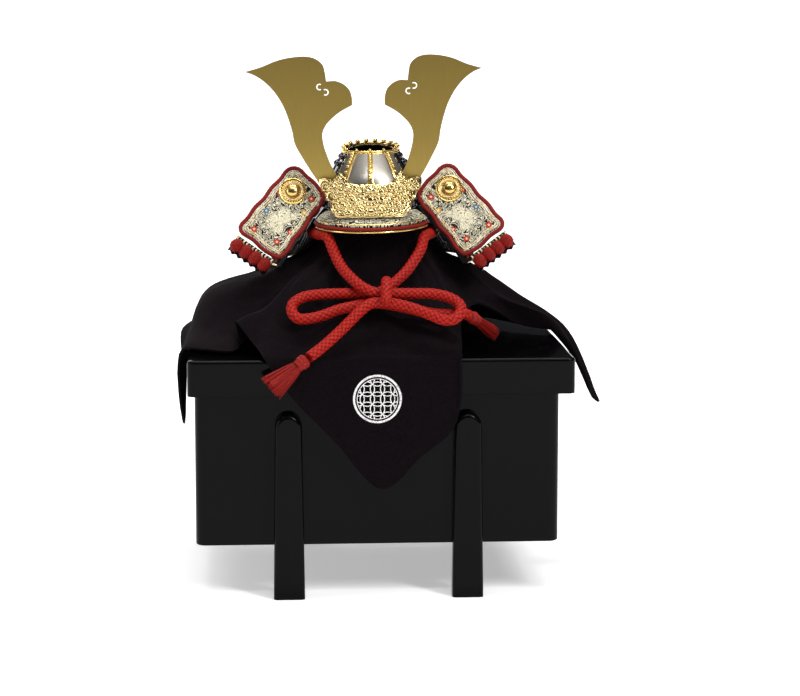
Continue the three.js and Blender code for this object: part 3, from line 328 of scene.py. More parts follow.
# A wall of even thickness behind surface(u, v). A closed one joins its last column to its first.
def wall(surface, columns, rows, thickness, closed=False, uv=None):
    across = columns if closed else columns + 1
    shares = [(i / columns, j / rows) for i in range(across) for j in range(rows + 1)]
    grid = [Vector(surface(*share)) for share in shares]
    uvs = [uv(*share) for share in shares] if uv else shares

    def at(i, j):
        column = i % columns if closed else min(max(i, 0), columns)
        return column * (rows + 1) + min(max(j, 0), rows)

    back = []
    for index, p in enumerate(grid):
        i, j = divmod(index, rows + 1)
        normal = (grid[at(i + 1, j)] - grid[at(i - 1, j)]).cross(grid[at(i, j + 1)] - grid[at(i, j - 1)])
        if normal.length < 1e-6:
            normal = Vector((0, 0, -1))
        back.append(p + normal.normalized() * thickness)
    half = len(grid)
    faces = []
    for i in range(columns):
        for j in range(rows):
            faces.append([at(i, j), at(i, j + 1), at(i + 1, j + 1), at(i + 1, j)])
            faces.append([half + at(i, j), half + at(i + 1, j), half + at(i + 1, j + 1), half + at(i, j + 1)])
        faces.append([at(i, 0), at(i + 1, 0), half + at(i + 1, 0), half + at(i, 0)])
        faces.append([at(i, rows), half + at(i, rows), half + at(i + 1, rows), at(i + 1, rows)])
    if not closed:
        for j in range(rows):
            faces.append([at(0, j), half + at(0, j), half + at(0, j + 1), at(0, j + 1)])
            near, after = at(columns, j), at(columns, j + 1)
            faces.append([near, after, half + after, half + near])
    return grid + back, faces, uvs + uvs


# A solid swept along points. section(turn, along) gives the radius at an angle and a length from the start.
def sweep(points, section, sides, closed=False):
    pts = [Vector(p) for p in points]
    count = len(pts)
    out, faces, uvs = [], [], []
    along = 0.0
    tangent = (pts[1] - pts[0]).normalized()
    side = tangent.cross(Vector((0, 0, 1)))
    if side.length < 0.1:
        side = tangent.cross(Vector((1, 0, 0)))
    side.normalize()
    for i, p in enumerate(pts):
        before = pts[i - 1] if closed or i else p
        after = pts[(i + 1) % count] if closed or i < count - 1 else p
        tangent = (after - before).normalized()
        side = (side - tangent * side.dot(tangent)).normalized()
        other = tangent.cross(side)
        if i:
            along += (p - pts[i - 1]).length
        for k in range(sides):
            turn = 2 * math.pi * k / sides
            radius = section(turn, along)
            out.append(p + side * (radius * math.cos(turn)) + other * (radius * math.sin(turn)))
            uvs.append((k / sides, along))
    for i in range(count if closed else count - 1):
        j = (i + 1) % count
        for k in range(sides):
            m = (k + 1) % sides
            faces.append([i * sides + k, i * sides + m, j * sides + m, j * sides + k])
    if not closed:
        for row, flip in ((0, True), (count - 1, False)):
            middle = len(out)
            out.append(pts[row])
            uvs.append((0.5, 0 if row == 0 else along))
            for k in range(sides):
                tri = [middle, row * sides + k, row * sides + (k + 1) % sides]
                faces.append(tri[::-1] if flip else tri)
    return out, faces, uvs


# Equally spaced points along a smooth line.
def spaced(points, step):
    line = catmull(points)
    fine = [line(i / 2000) for i in range(2001)]
    total = [0.0]
    for a, b in zip(fine, fine[1:]):
        total.append(total[-1] + (b - a).length)
    count = max(int(total[-1] / step), 2)
    out = []
    j = 0
    for i in range(count + 1):
        want = total[-1] * i / count
        while j < len(fine) - 2 and total[j + 1] < want:
            j += 1
        span = total[j + 1] - total[j]
        out.append(fine[j].lerp(fine[j + 1], (want - total[j]) / span if span else 0))
    return out


# Points and faces of a small mesh, in millimetres.
def read_out(bm):
    bmesh.ops.recalc_face_normals(bm, faces=bm.faces)
    bm.verts.index_update()
    points = [tuple(v.co) for v in bm.verts]
    faces = [[v.index for v in face.verts] for face in bm.faces]
    bm.free()
    return points, faces, None


def of_kind(items, kind):
    return [item for item in items if isinstance(item, kind)]


# A turned body: a line of (radius, height) spun about the vertical.
# ripple(turn, row) gives the (radius, height) factors of a point.
def lathe(profile, sides, ripple=None):
    bm = bmesh.new()
    row_of = bm.verts.layers.int.new("row")
    line = [bm.verts.new((radius, 0, height)) for radius, height in profile]
    for row, v in enumerate(line):
        v[row_of] = row
    edges = [bm.edges.new(pair) for pair in zip(line, line[1:])]
    bmesh.ops.spin(
        bm, geom=line + edges, cent=(0, 0, 0), axis=(0, 0, 1), angle=2 * math.pi, steps=sides, use_merge=True)
    bmesh.ops.remove_doubles(bm, verts=bm.verts, dist=1e-4)
    if ripple:
        for v in bm.verts:
            outward, upward = ripple(math.atan2(v.co.y, v.co.x), v[row_of])
            v.co = (v.co.x * outward, v.co.y * outward, v.co.z * upward)
    return read_out(bm)


def ball(radius, sides=12, rings=8, squash=1.0):
    bm = bmesh.new()
    bmesh.ops.create_uvsphere(bm, u_segments=sides, v_segments=rings, radius=radius)
    bmesh.ops.scale(bm, vec=(1, 1, squash), verts=bm.verts)
    return read_out(bm)


def moved(body, offset, turn=None):
    points, faces, uvs = body
    shift = Vector(offset)
    if turn is None:
        return [Vector(p) + shift for p in points], faces, uvs
    return [turn @ Vector(p) + shift for p in points], faces, uvs


# Colours are written as seen on a screen and turned into light.
def colour(text):
    parts = [int(text[i : i + 2], 16) / 255 for i in (1, 3, 5)]
    linear = [c / 12.92 if c <= 0.04045 else ((c + 0.055) / 1.055) ** 2.4 for c in parts]
    return (*linear, 1.0)


# Adds a node to a material: settings on the node itself, constants and links on its inputs.
def add_node(tree, kind, settings=None, **inputs):
    made = tree.nodes.new(kind)
    for key, value in (settings or {}).items():
        setattr(made, key, value)
    for key, value in inputs.items():
        name = key.replace("_", " ")
        numbered = key.startswith("in") and key[2:].isdigit()
        socket = made.inputs[int(key[2:]) if numbered else name]
        if isinstance(value, bpy.types.NodeSocket):
            tree.links.new(value, socket)
        else:
            socket.default_value = value
    return made


def new_look(name, **surface):
    look = bpy.data.materials.new(name)
    look.use_nodes = True
    tree = look.node_tree
    tree.nodes.clear()
    shader = add_node(tree, "ShaderNodeBsdfPrincipled", None, **surface)
    out = add_node(tree, "ShaderNodeOutputMaterial")
    tree.links.new(shader.outputs["BSDF"], out.inputs["Surface"])
    place = add_node(tree, "ShaderNodeTexCoord")
    return look, tree, shader, place.outputs["Object"], place.outputs["UV"]


def math_node(tree, operation, a, b=0.0, clamp=False):
    made = add_node(tree, "ShaderNodeMath", {"operation": operation, "use_clamp": clamp}, in0=a, in1=b)
    return made.outputs[0]


def distance(tree, a, b):
    return add_node(tree, "ShaderNodeVectorMath", {"operation": "DISTANCE"}, in0=a, in1=b).outputs["Value"]


def noise_node(tree, vector, scale, detail=3.0, roughness=0.5, distortion=0.0):
    made = add_node(
        tree, "ShaderNodeTexNoise", None,
        Vector=vector, Scale=scale, Detail=detail, Roughness=roughness, Distortion=distortion,
    )
    return made.outputs["Fac"]


def ramp(tree, factor, stops):
    made = add_node(tree, "ShaderNodeValToRGB", None, Fac=factor)
    band = made.color_ramp
    while len(band.elements) < len(stops):
        band.elements.new(0.5)
    for element, (place, tint) in zip(band.elements, stops):
        element.position = place
        element.color = colour(tint)
    return made.outputs["Color"]


def mix_colour(tree, factor, a, b):
    made = add_node(tree, "ShaderNodeMix", {"data_type": "RGBA"}, in0=factor, in6=a, in7=b)
    return made.outputs[2]


def stretched(tree, vector, scale):
    made = add_node(tree, "ShaderNodeMapping", None, Vector=vector, Scale=scale)
    return made.outputs["Vector"]


def bump(tree, shader, height, distance, strength=1.0):
    made = add_node(tree, "ShaderNodeBump", None, Height=height, Distance=distance, Strength=strength)
    tree.links.new(made.outputs["Normal"], shader.inputs["Normal"])


# Urushi lacquer on wood, deep black gloss with a faint waviness
lacquer, tree, shader, object_place, uv_place = new_look(
    "Black urushi lacquer, gloss", Base_Color=colour("#040405"), Roughness=0.07, Specular_IOR_Level=0.075,
)
bump(tree, shader, noise_node(tree, object_place, 22, 2), 0.0006, 0.04)

# Plain painted wood of the hidden stand
stand_look, tree, shader, object_place, uv_place = new_look(
    "Stand wood, matte paint", Base_Color=colour("#1d1714"), Roughness=0.8,
)
bump(tree, shader, noise_node(tree, stretched(tree, object_place, (400, 400, 30)), 1, 4), 0.0004, 0.3)

# Crepe weave of the drape, dark aubergine, with a white printed medallion of linked rings in front
cloth_look, tree, shader, object_place, uv_place = new_look(
    "Crepe cloth, aubergine black", Roughness=0.9, Sheen_Weight=0.03, Sheen_Roughness=0.5,
    Sheen_Tint=colour("#8a7684"), Specular_IOR_Level=0.05,
)
crepe = noise_node(tree, object_place, 850, 4, 0.62)
slub = noise_node(tree, object_place, 60, 3)
weave = ramp(tree, crepe, [(0.32, "#040203"), (0.68, "#120b0f")])
weave = mix_colour(tree, math_node(tree, "MULTIPLY", slub, 0.4), weave, colour("#0a0709"))
MEDALLION = Vector((-0.0045 + SHIFT_X, 0, 0.1735))
MEDALLION_RADIUS = 0.0215
RING_PITCH = 0.0086
RING_LINE, RIM_LINE, EDGE_LINE = 0.00038, 0.0009, 0.0003
CLOTH_FRONT = -0.12
flat_place = add_node(
    tree, "ShaderNodeVectorMath", {"operation": "MULTIPLY"}, in0=object_place, in1=(1, 0, 1)).outputs[0]
from_middle = add_node(
    tree, "ShaderNodeVectorMath", {"operation": "SUBTRACT"}, in0=flat_place, in1=MEDALLION).outputs[0]
reach = add_node(tree, "ShaderNodeVectorMath", {"operation": "LENGTH"}, in0=from_middle).outputs["Value"]
cell = add_node(
    tree, "ShaderNodeVectorMath", {"operation": "WRAP"}, in0=from_middle,
    in1=(RING_PITCH / 2, 1, RING_PITCH / 2), in2=(-RING_PITCH / 2, -1, -RING_PITCH / 2)).outputs[0]
cell = add_node(tree, "ShaderNodeVectorMath", {"operation": "ABSOLUTE"}, in0=cell).outputs[0]
lines = None
for centre in ((0, 0, 0), (RING_PITCH, 0, 0), (0, 0, RING_PITCH)):
    gap = distance(tree, cell, centre)
    off = math_node(tree, "ABSOLUTE", math_node(tree, "SUBTRACT", gap, RING_PITCH * math.sqrt(0.5)))
    line = math_node(tree, "LESS_THAN", off, RING_LINE)
    lines = line if lines is None else math_node(tree, "MAXIMUM", lines, line)
inside = math_node(tree, "LESS_THAN", reach, MEDALLION_RADIUS * 0.8)
rim = math_node(tree, "ABSOLUTE", math_node(tree, "SUBTRACT", reach, MEDALLION_RADIUS * 0.92))
rim = math_node(tree, "LESS_THAN", rim, RIM_LINE)
edge_line = math_node(tree, "ABSOLUTE", math_node(tree, "SUBTRACT", reach, MEDALLION_RADIUS * 0.8))
edge_line = math_node(tree, "LESS_THAN", edge_line, EDGE_LINE)
border = math_node(tree, "MAXIMUM", rim, edge_line)
printed = math_node(tree, "MAXIMUM", math_node(tree, "MULTIPLY", lines, inside), border)
depth = add_node(tree, "ShaderNodeSeparateXYZ", None, Vector=object_place).outputs["Y"]
printed = math_node(tree, "MULTIPLY", printed, math_node(tree, "LESS_THAN", depth, CLOTH_FRONT))
worn = ramp(tree, noise_node(tree, object_place, 900, 2), [(0.3, "#8a8488"), (0.5, "#e6e3e2")])
tree.links.new(mix_colour(tree, printed, weave, worn), shader.inputs["Base Color"])
bump(tree, shader, math_node(tree, "ADD", crepe, math_node(tree, "MULTIPLY", slub, 0.6)), 0.0009, 0.55)

# Lacquered iron plates, blue-black, shiny
iron, tree, shader, object_place, uv_place = new_look(
    "Iron plate, blue-black lacquer", Base_Color=colour("#05070f"), Metallic=0.0, Roughness=0.16,
    Specular_IOR_Level=0.55,
)
bump(tree, shader, noise_node(tree, object_place, 320, 2), 0.0002, 0.2)

# Satin silver plate of the bowl's front
silver, tree, shader, object_place, uv_place = new_look(
    "Silver plate, satin", Metallic=1.0, Roughness=0.3,
)
haze = noise_node(tree, stretched(tree, object_place, (900, 900, 60)), 1, 3)
tree.links.new(ramp(tree, haze, [(0.3, "#9b968e"), (0.7, "#a39e96")]), shader.inputs["Base Color"])
bump(tree, shader, haze, 0.00002, 0.12)

# Polished gilt castings, with painted shade brown in the hollows and a painted highlight pale on the raised relief
gilt, tree, shader, object_place, uv_place = new_look(
    "Gilt brass, polished casting", Metallic=1.0, Roughness=0.16,
)
height = add_node(tree, "ShaderNodeAttribute", {"attribute_name": "relief"}).outputs["Fac"]
# Painted shade and highlight: low relief dark brown, high relief near white
gilt_shade_and_highlight = ramp(tree, height, [(0.0, "#241505"), (0.25, "#68491d"), (0.55, "#d2ba82"), (1.0, "#f6e8c0")])
tree.links.new(gilt_shade_and_highlight, shader.inputs["Base Color"])
bump(tree, shader, noise_node(tree, object_place, 700, 2), 0.00008, 0.3)

# Plain polished gilt of rings, knobs and rims
gold, tree, shader, object_place, uv_place = new_look(
    "Gilt brass, polished", Base_Color=colour("#d9b970"), Metallic=1.0, Roughness=0.2,
)
bump(tree, shader, noise_node(tree, object_place, 500, 2), 0.00006, 0.3)

# Brushed antique gold of the horns, with painted shade making it darker to the top and lighter towards the base
horn_gold, tree, shader, object_place, uv_place = new_look(
    "Gilt brass, brushed matte", Metallic=0.85, Roughness=0.43, Anisotropic=0.5,
)
rise = add_node(tree, "ShaderNodeSeparateXYZ", None, Vector=object_place).outputs["Z"]
rise = math_node(tree, "MULTIPLY", math_node(tree, "SUBTRACT", rise, 0.33), 1 / 0.13, True)
grain = noise_node(tree, stretched(tree, object_place, (1600, 60, 90)), 1, 4, 0.6)
# Painted shade: the horns' colour steps from light at the base to dark at the top
tone = ramp(tree, rise, [(0.0, "#b39950"), (0.45, "#937d3e"), (1.0, "#806c35")])
tone = mix_colour(tree, math_node(tree, "MULTIPLY", grain, 0.35), tone, colour("#5d4d24"))
tree.links.new(tone, shader.inputs["Base Color"])
bump(tree, shader, grain, 0.00006, 0.5)

# Dark red silk rope along the edges
piping_look, tree, shader, object_place, uv_place = new_look(
    "Silk piping, dark red", Roughness=0.7, Sheen_Weight=0.06, Sheen_Tint=colour("#c8402c"),
    Specular_IOR_Level=0.2,
)
fibre = noise_node(tree, stretched(tree, uv_place, (30, 400, 1)), 1, 3)
tree.links.new(ramp(tree, fibre, [(0.3, "#4c0906"), (0.7, "#8f1d12")]), shader.inputs["Base Color"])
bump(tree, shader, fibre, 0.0002, 0.5)

# Braided red silk of the chin cord: the braid itself is in the shape, its threads are here, with painted shade dark in
# the gaps between the strands and the strands' crowns at full red
silk, tree, shader, object_place, uv_place = new_look(
    "Silk braid, vermilion red", Roughness=0.6, Sheen_Weight=0.03, Sheen_Roughness=0.4,
    Sheen_Tint=colour("#d8402c"), Specular_IOR_Level=0.14,
)
fibre = noise_node(tree, object_place, 1500, 3, 0.6)
low = add_node(tree, "ShaderNodeAttribute", {"attribute_name": "relief"}).outputs["Fac"]
# Painted shade: the plait's low gaps near black, its raised strands bright red
tone = ramp(tree, low, [(0.0, "#1c0101"), (0.4, "#560805"), (0.78, "#a8190e"), (1.0, "#be2717")])
tone = mix_colour(tree, math_node(tree, "MULTIPLY", fibre, 0.35), tone, colour("#780a05"))
tree.links.new(tone, shader.inputs["Base Color"])
bump(tree, shader, fibre, 0.00025, 0.5)

# Silk threads of the tassels, laces and tufts
thread_look, tree, shader, object_place, uv_place = new_look(
    "Silk floss, vermilion red", Roughness=0.6, Sheen_Weight=0.05, Sheen_Roughness=0.4,
    Sheen_Tint=colour("#d8402c"), Specular_IOR_Level=0.2,
)
fibre = noise_node(tree, object_place, 900, 3, 0.6)
tree.links.new(ramp(tree, fibre, [(0.3, "#4e0603"), (0.7, "#a0180d")]), shader.inputs["Base Color"])
bump(tree, shader, fibre, 0.0003, 0.5)

# Small knotted threads and beads of the turn-backs
cream_look, tree, shader, object_place, uv_place = new_look(
    "Silk thread, cream and gold", Roughness=0.45, Sheen_Weight=0.3,
)
patch = noise_node(tree, object_place, 240, 1)
tree.links.new(
    ramp(tree, patch, [(0.38, "#e9dfc0"), (0.5, "#c9a24c"), (0.6, "#f2ead2")]),
    shader.inputs["Base Color"])
green_look, tree, shader, object_place, uv_place = new_look(
    "Silk thread, green", Base_Color=colour("#3f7a4a"), Roughness=0.6, Sheen_Weight=0.4,
)


# Printed leather: pale scroll lines wander over black. u and v are millimetres on the piece.
def printed_leather(name, figure, flowers):
    look, tree, shader, _, uv_place = new_look(name, Roughness=0.6, Specular_IOR_Level=0.2)
    wander = noise_node(tree, uv_place, 0.2, 0.6, 0.4, 1.2)
    step = math_node(tree, "FRACT", math_node(tree, "MULTIPLY", wander, 6.0))
    off = math_node(tree, "ABSOLUTE", math_node(tree, "SUBTRACT", step, 0.5))
    rough = math_node(tree, "MULTIPLY", noise_node(tree, uv_place, 0.3, 2), 7.0)
    shape = 0.0
    for u, v, radius in figure:
        gap = distance(tree, uv_place, (u, v, 0))
        gap = math_node(tree, "ADD", gap, rough)
        near = math_node(tree, "MULTIPLY", math_node(tree, "SUBTRACT", radius + 4.5, gap), 0.35, True)
        shape = math_node(tree, "MAXIMUM", near, shape)
    off = math_node(tree, "SUBTRACT", off, math_node(tree, "MULTIPLY", shape, 0.17))
    tone = ramp(tree, off, [(0.19, "#d8d1b6"), (0.225, "#050404")])
    pale = mix_colour(tree, 0.5, tone, colour("#e2dab6"))
    tone = mix_colour(tree, math_node(tree, "MULTIPLY", shape, 0.5), tone, pale)
    for u, v, radius, tint in flowers:
        local = add_node(
            tree, "ShaderNodeVectorMath", {"operation": "SUBTRACT"}, in0=uv_place, in1=(u, v, 0)).outputs[0]
        parts = add_node(tree, "ShaderNodeSeparateXYZ", None, Vector=local)
        turn = math_node(tree, "ARCTAN2", parts.outputs["Y"], parts.outputs["X"])
        petals = math_node(tree, "COSINE", math_node(tree, "MULTIPLY", turn, 5.0))
        reach = add_node(tree, "ShaderNodeVectorMath", {"operation": "LENGTH"}, in0=local).outputs["Value"]
        reach = math_node(tree, "SUBTRACT", reach, math_node(tree, "MULTIPLY", petals, radius * 0.22))
        tone = mix_colour(tree, math_node(tree, "LESS_THAN", reach, radius * 1.15), tone, colour("#141110"))
        tone = mix_colour(tree, math_node(tree, "LESS_THAN", reach, radius), tone, colour(tint))
        tone = mix_colour(tree, math_node(tree, "LESS_THAN", reach, radius * 0.3), tone, colour("#ecd9a4"))
    tree.links.new(tone, shader.inputs["Base Color"])
    pores = noise_node(tree, uv_place, 3.5, 2)
    bump(tree, shader, pores, 0.0002, 0.35)
    return look


# Turn-back leather with a pale figure and small red flowers, then the plain scroll print of the visor
board_leather = printed_leather(
    "Leather, printed scrolls and flowers",
    [(35, 17, 7), (43, 21, 7), (48, 15, 5), (31, 11, 4)],
    [(8, 7, 2.6, "#b3281c"), (20, 33, 2.2, "#b3281c"), (58, 9, 2.5, "#b3281c"), (60, 32, 2.6, "#b3281c"),
     (40, 33, 2.2, "#3d6b8f"), (22, 5, 2.2, "#c79a3a"), (44, 5, 2.0, "#b3281c")],
)
scroll_leather = printed_leather("Leather, printed scrolls", [], [])


# Chin cord, in metres from the middle of the lid's top. Each half starts behind the head, passes the
# cheek, goes round its loop at the knot and ends in its own tail.
CORD_ROUTE_LEFT = [
    (-0.0004, 0.056, 0.0975), (-0.009, 0.0553, 0.0975), (-0.026, 0.05, 0.0975), (-0.044, 0.034, 0.0975),
    (-0.054, 0.013, 0.097), (-0.055, -0.01, 0.0965), (-0.05, -0.034, 0.0965), (-0.043, -0.0528, 0.096),
    (-0.0385, -0.0634, 0.0852), (-0.0322, -0.0788, 0.0728), (-0.0246, -0.096, 0.0649),
    (-0.0157, -0.1086, 0.0584), (-0.0063, -0.1126, 0.0542), (0.003, -0.113, 0.0529),
    (0.0141, -0.1131, 0.0529), (0.029, -0.1132, 0.0528), (0.0449, -0.1137, 0.0524),
    (0.0584, -0.1168, 0.0495), (0.0669, -0.1227, 0.0443), (0.0671, -0.1305, 0.0385),
    (0.0612, -0.1356, 0.0333), (0.0526, -0.1356, 0.0327), (0.0427, -0.1318, 0.0361),
    (0.0308, -0.1269, 0.0405), (0.0186, -0.1233, 0.0438), (0.0081, -0.121, 0.0458),
    (-0.0008, -0.1205, 0.0462), (-0.0094, -0.1217, 0.0451), (-0.0173, -0.1263, 0.0402),
    (-0.0263, -0.1309, 0.0321), (-0.0374, -0.1361, 0.0221), (-0.0498, -0.1442, 0.0124),
    (-0.0622, -0.1536, 0.0044),
]
CORD_ROUTE_RIGHT = [
    (0.0004, 0.056, 0.0975), (0.009, 0.0553, 0.0975), (0.026, 0.05, 0.0975), (0.043, 0.034, 0.0975),
    (0.052, 0.013, 0.097), (0.053, -0.01, 0.0965), (0.048, -0.034, 0.0965), (0.0415, -0.0534, 0.0948),
    (0.0381, -0.0625, 0.086), (0.0319, -0.0716, 0.0772), (0.0244, -0.0807, 0.0685),
    (0.017, -0.0873, 0.0623), (0.0097, -0.0933, 0.0568), (-0.0005, -0.0984, 0.0522),
    (-0.0117, -0.0994, 0.0514), (-0.0304, -0.0995, 0.0516), (-0.0523, -0.1009, 0.051),
    (-0.0661, -0.1031, 0.0489), (-0.0746, -0.1086, 0.044), (-0.0756, -0.1153, 0.038),
    (-0.0707, -0.1208, 0.0331), (-0.0613, -0.121, 0.0329), (-0.0493, -0.1185, 0.0352),
    (-0.0364, -0.1134, 0.0392), (-0.0226, -0.1103, 0.0419), (-0.0116, -0.108, 0.0437),
    (-0.001, -0.1075, 0.044), (0.0101, -0.1091, 0.0426), (0.0228, -0.1119, 0.0403),
    (0.0354, -0.1152, 0.0376), (0.0489, -0.118, 0.0356), (0.0608, -0.1183, 0.0353),
    (0.0702, -0.1169, 0.036), (0.076, -0.1135, 0.0338),
]
KNOT_ARC = [
    (0.0055, -0.1074, 0.0636), (0.005, -0.1164, 0.0624), (0.0046, -0.1228, 0.0584),
    (0.0042, -0.13, 0.0512), (0.0041, -0.1346, 0.0466),
]
CLOTH_FOLDS = [
    (0, 0.0, (0, -0.955, 0.095), (0, -1.03, -0.03), (0, -1.045, -1.02)),
    (13, 0.0, (0.18, -0.955, 0.095), (0.19, -1.03, -0.03), (0.195, -1.045, -0.77)),
    (26, 0.02, (0.32, -0.945, 0.1), (0.35, -1.03, -0.03), (0.372, -1.045, -0.52)),
    (34, 0.02, (0.37, -0.9, 0.12), (0.4, -1.0, 0.05), (0.4, -1.045, 0.0)),
    (45, 0.04, (0.395, -0.77, 0.2), (0.42, -0.81, 0.12), (0.425, -0.84, 0.06)),
    (57, 0.03, (0.4, -0.61, 0.34), (0.425, -0.65, 0.29), (0.435, -0.68, 0.25)),
    (68, -0.06, (0.47, -0.36, 0.42), (0.52, -0.36, 0.38), (0.555, -0.355, 0.35)),
    (77, -0.02, (0.62, -0.2, 0.4), (0.72, -0.16, 0.25), (0.8, -0.12, 0.12)),
    (80, 0.02, (0.65, -0.185, 0.385), (0.85, -0.13, 0.21), (1.03, -0.08, 0.03)),
    (83, 0.05, (0.68, -0.17, 0.37), (0.97, -0.11, 0.17), (1.17, -0.04, -0.34)),
    (87, -0.03, (0.72, -0.09, 0.35), (1.0, -0.06, 0.13), (1.22, -0.01, -0.52)),
    (93, 0.06, (0.78, 0.0, 0.38), (1.06, 0.0, 0.08), (1.255, 0.02, -0.56)),
    (101, 0.0, (0.72, 0.13, 0.36), (0.98, 0.1, 0.12), (1.18, 0.07, -0.34)),
    (106, -0.02, (0.67, 0.22, 0.35), (0.86, 0.23, 0.17), (1.03, 0.23, 0.03)),
    (112, -0.04, (0.62, 0.3, 0.34), (0.74, 0.34, 0.2), (0.84, 0.38, 0.06)),
    (130, 0.04, (0.52, 0.64, 0.26), (0.58, 0.74, 0.14), (0.63, 0.83, 0.05)),
    (146, 0.0, (0.42, 0.92, 0.14), (0.5, 1.0, 0.05), (0.55, 1.045, 0.0)),
    (163, 0.05, (0.2, 0.955, 0.1), (0.22, 1.03, -0.03), (0.25, 1.045, -0.65)),
    (180, 0.0, (0, 0.955, 0.095), (0, 1.03, -0.03), (0, 1.045, -1.0)),
    (197, 0.05, (-0.2, 0.955, 0.1), (-0.22, 1.03, -0.03), (-0.25, 1.045, -0.64)),
    (214, 0.0, (-0.42, 0.92, 0.14), (-0.5, 1.0, 0.05), (-0.55, 1.045, 0.0)),
    (232, 0.04, (-0.57, 0.66, 0.3), (-0.64, 0.78, 0.15), (-0.69, 0.86, 0.05)),
    (248, 0.0, (-0.78, 0.36, 0.4), (-0.92, 0.5, 0.16), (-1.04, 0.58, 0.03)),
    (260, -0.08, (-0.89, 0.16, 0.42), (-1.0, 0.18, 0.06), (-1.045, 0.2, -0.3)),
    (270, -0.08, (-0.91, 0.0, 0.4), (-1.01, -0.04, 0.03), (-1.045, -0.12, -0.68)),
    (279, -0.06, (-0.9, -0.18, 0.43), (-0.985, -0.38, 0.16), (-1.04, -0.6, 0.03)),
    (288, 0.02, (-0.8, -0.34, 0.4), (-0.88, -0.56, 0.17), (-0.9, -0.74, 0.05)),
    (297, -0.02, (-0.69, -0.5, 0.28), (-0.75, -0.68, 0.14), (-0.775, -0.82, 0.05)),
    (304, -0.04, (-0.64, -0.58, 0.22), (-0.7, -0.66, 0.13), (-0.735, -0.71, 0.07)),
    (311, 0.04, (-0.6, -0.6, 0.36), (-0.69, -0.65, 0.31), (-0.755, -0.68, 0.26)),
    (319, 0.05, (-0.56, -0.7, 0.29), (-0.63, -0.77, 0.21), (-0.665, -0.85, 0.12)),
    (328, 0.03, (-0.49, -0.9, 0.14), (-0.56, -1.01, 0.05), (-0.6, -1.045, 0.02)),
    (337, 0.0, (-0.4, -0.945, 0.1), (-0.45, -1.03, -0.03), (-0.485, -1.045, -0.25)),
    (348, 0.0, (-0.21, -0.955, 0.095), (-0.23, -1.03, -0.03), (-0.245, -1.045, -0.64)),
]
CORD_DIAMETER = 9.5
PLAIT_STRANDS, PLAIT_PITCH, PLAIT_STEP = 6, 5.2, 0.62
CORD_LEFT_LENGTH = 0.474
CORD_RIGHT_LENGTH = 0.4675


def lid_place(p):
    return Vector((p[0] * MM + SHIFT_X, p[1] * MM, (p[2] + LID_LEVEL) * MM))


# Height of the plait at an angle and a length: strands cross over and under in diamonds.
def plait(turn, along):
    a = turn / (2 * math.pi) * PLAIT_STRANDS + along / PLAIT_PITCH
    b = turn / (2 * math.pi) * PLAIT_STRANDS - along / PLAIT_PITCH
    across_a = math.sin(math.pi * (a % 1))
    across_b = math.sin(math.pi * (b % 1))
    if (math.floor(a) + math.floor(b)) % 2:
        return across_a**0.6 * (0.72 + 0.28 * across_b)
    return across_b**0.6 * (0.72 + 0.28 * across_a)


def plaited(name, route, stands_for, taper=False):
    points = spaced([Vector(p) / MM for p in route], PLAIT_STEP)
    last = (len(points) - 1) * PLAIT_STEP

    def section(turn, along):
        end = 1.0
        if taper:
            near = min(along, last - along)
            end = math.sqrt(max(1 - max(1 - near / 4.2, 0) ** 2, 0.02))
        return CORD_DIAMETER / 2 * end * (0.85 + 0.17 * plait(turn, along))

    body, faces, uvs = sweep(points, section, 24)
    relief = [plait(2 * math.pi * u, v) for u, v in uvs]
    piece = make_piece(name, body, faces, silk, "silk", lid_place, uvs, [stands_for], 80, relief)
    return piece, [lid_place(p) for p in points[::5] + [points[-1]]]


# A tassel: a wound head, then threads that spread flat.
def tassel(name, start, toward, wide, stands_for):
    start, toward = Vector(start), Vector(toward)
    length = 38
    along = (toward - start).normalized()
    across = Vector((0, -0.7, 0.7)).cross(along).normalized()
    out = along.cross(across).normalized()
    body = Body()
    head = [start + along * (length * t) for t in (0.0, 0.03, 0.07, 0.11, 0.15, 0.19, 0.22)]
    sizes = (0.11, 0.145, 0.16, 0.15, 0.16, 0.145, 0.12)

    def head_radius(turn, reach):
        place = min(reach / (length * 0.22), 1) * 6
        i = min(int(place), 5)
        size = length * lerp(sizes[i], sizes[i + 1], place - i)
        return size * (0.72 + 0.28 * wide) * (1 + 0.05 * math.cos(10 * turn))

    body.add(*sweep(spaced(head, 0.6), head_radius, 30))
    binding = length * 0.128 * (0.72 + 0.28 * wide)
    for row in range(4):
        middle = start + along * (length * (0.205 + 0.018 * row))
        turns = [k * math.pi / 12 for k in range(24)]
        ring = [middle + (across * math.cos(a) + out * math.sin(a)) * binding for a in turns]
        body.add(*sweep(ring, lambda turn, reach: 0.55, 6, closed=True))
    chance = random.Random(name)
    for _ in range(190):
        turn = chance.uniform(0, 2 * math.pi)
        deep = chance.uniform(0, 1) ** 0.5
        x = math.cos(turn) * deep
        y = math.sin(turn) * deep
        reach = chance.uniform(0.94, 1.06)
        curl = chance.uniform(-0.02, 0.02)
        path = []
        for j in range(6):
            t = lerp(0.2, reach, j / 5)
            spread = lerp(0.1, 0.33, ((t - 0.2) / 0.8) ** 0.75 if t > 0.2 else 0) * wide
            thick = lerp(0.1, 0.15, (t - 0.2) / 0.8)
            offset = along * t + across * (x * spread + curl * t * t) + out * (y * thick)
            path.append(start + offset * length)
        body.add(*sweep(path, lambda turn, reach: 0.42, 4))
    core = [start + along * (length * t) for t in (0.2, 0.4, 0.6, 0.8, 0.97)]
    body.add(*sweep(core, lambda turn, reach: length * 0.08 * (1 + reach / length) * (0.6 + 0.4 * wide), 12))
    return body.piece(name, thread_look, "silk", lid_place, [stands_for], 70)


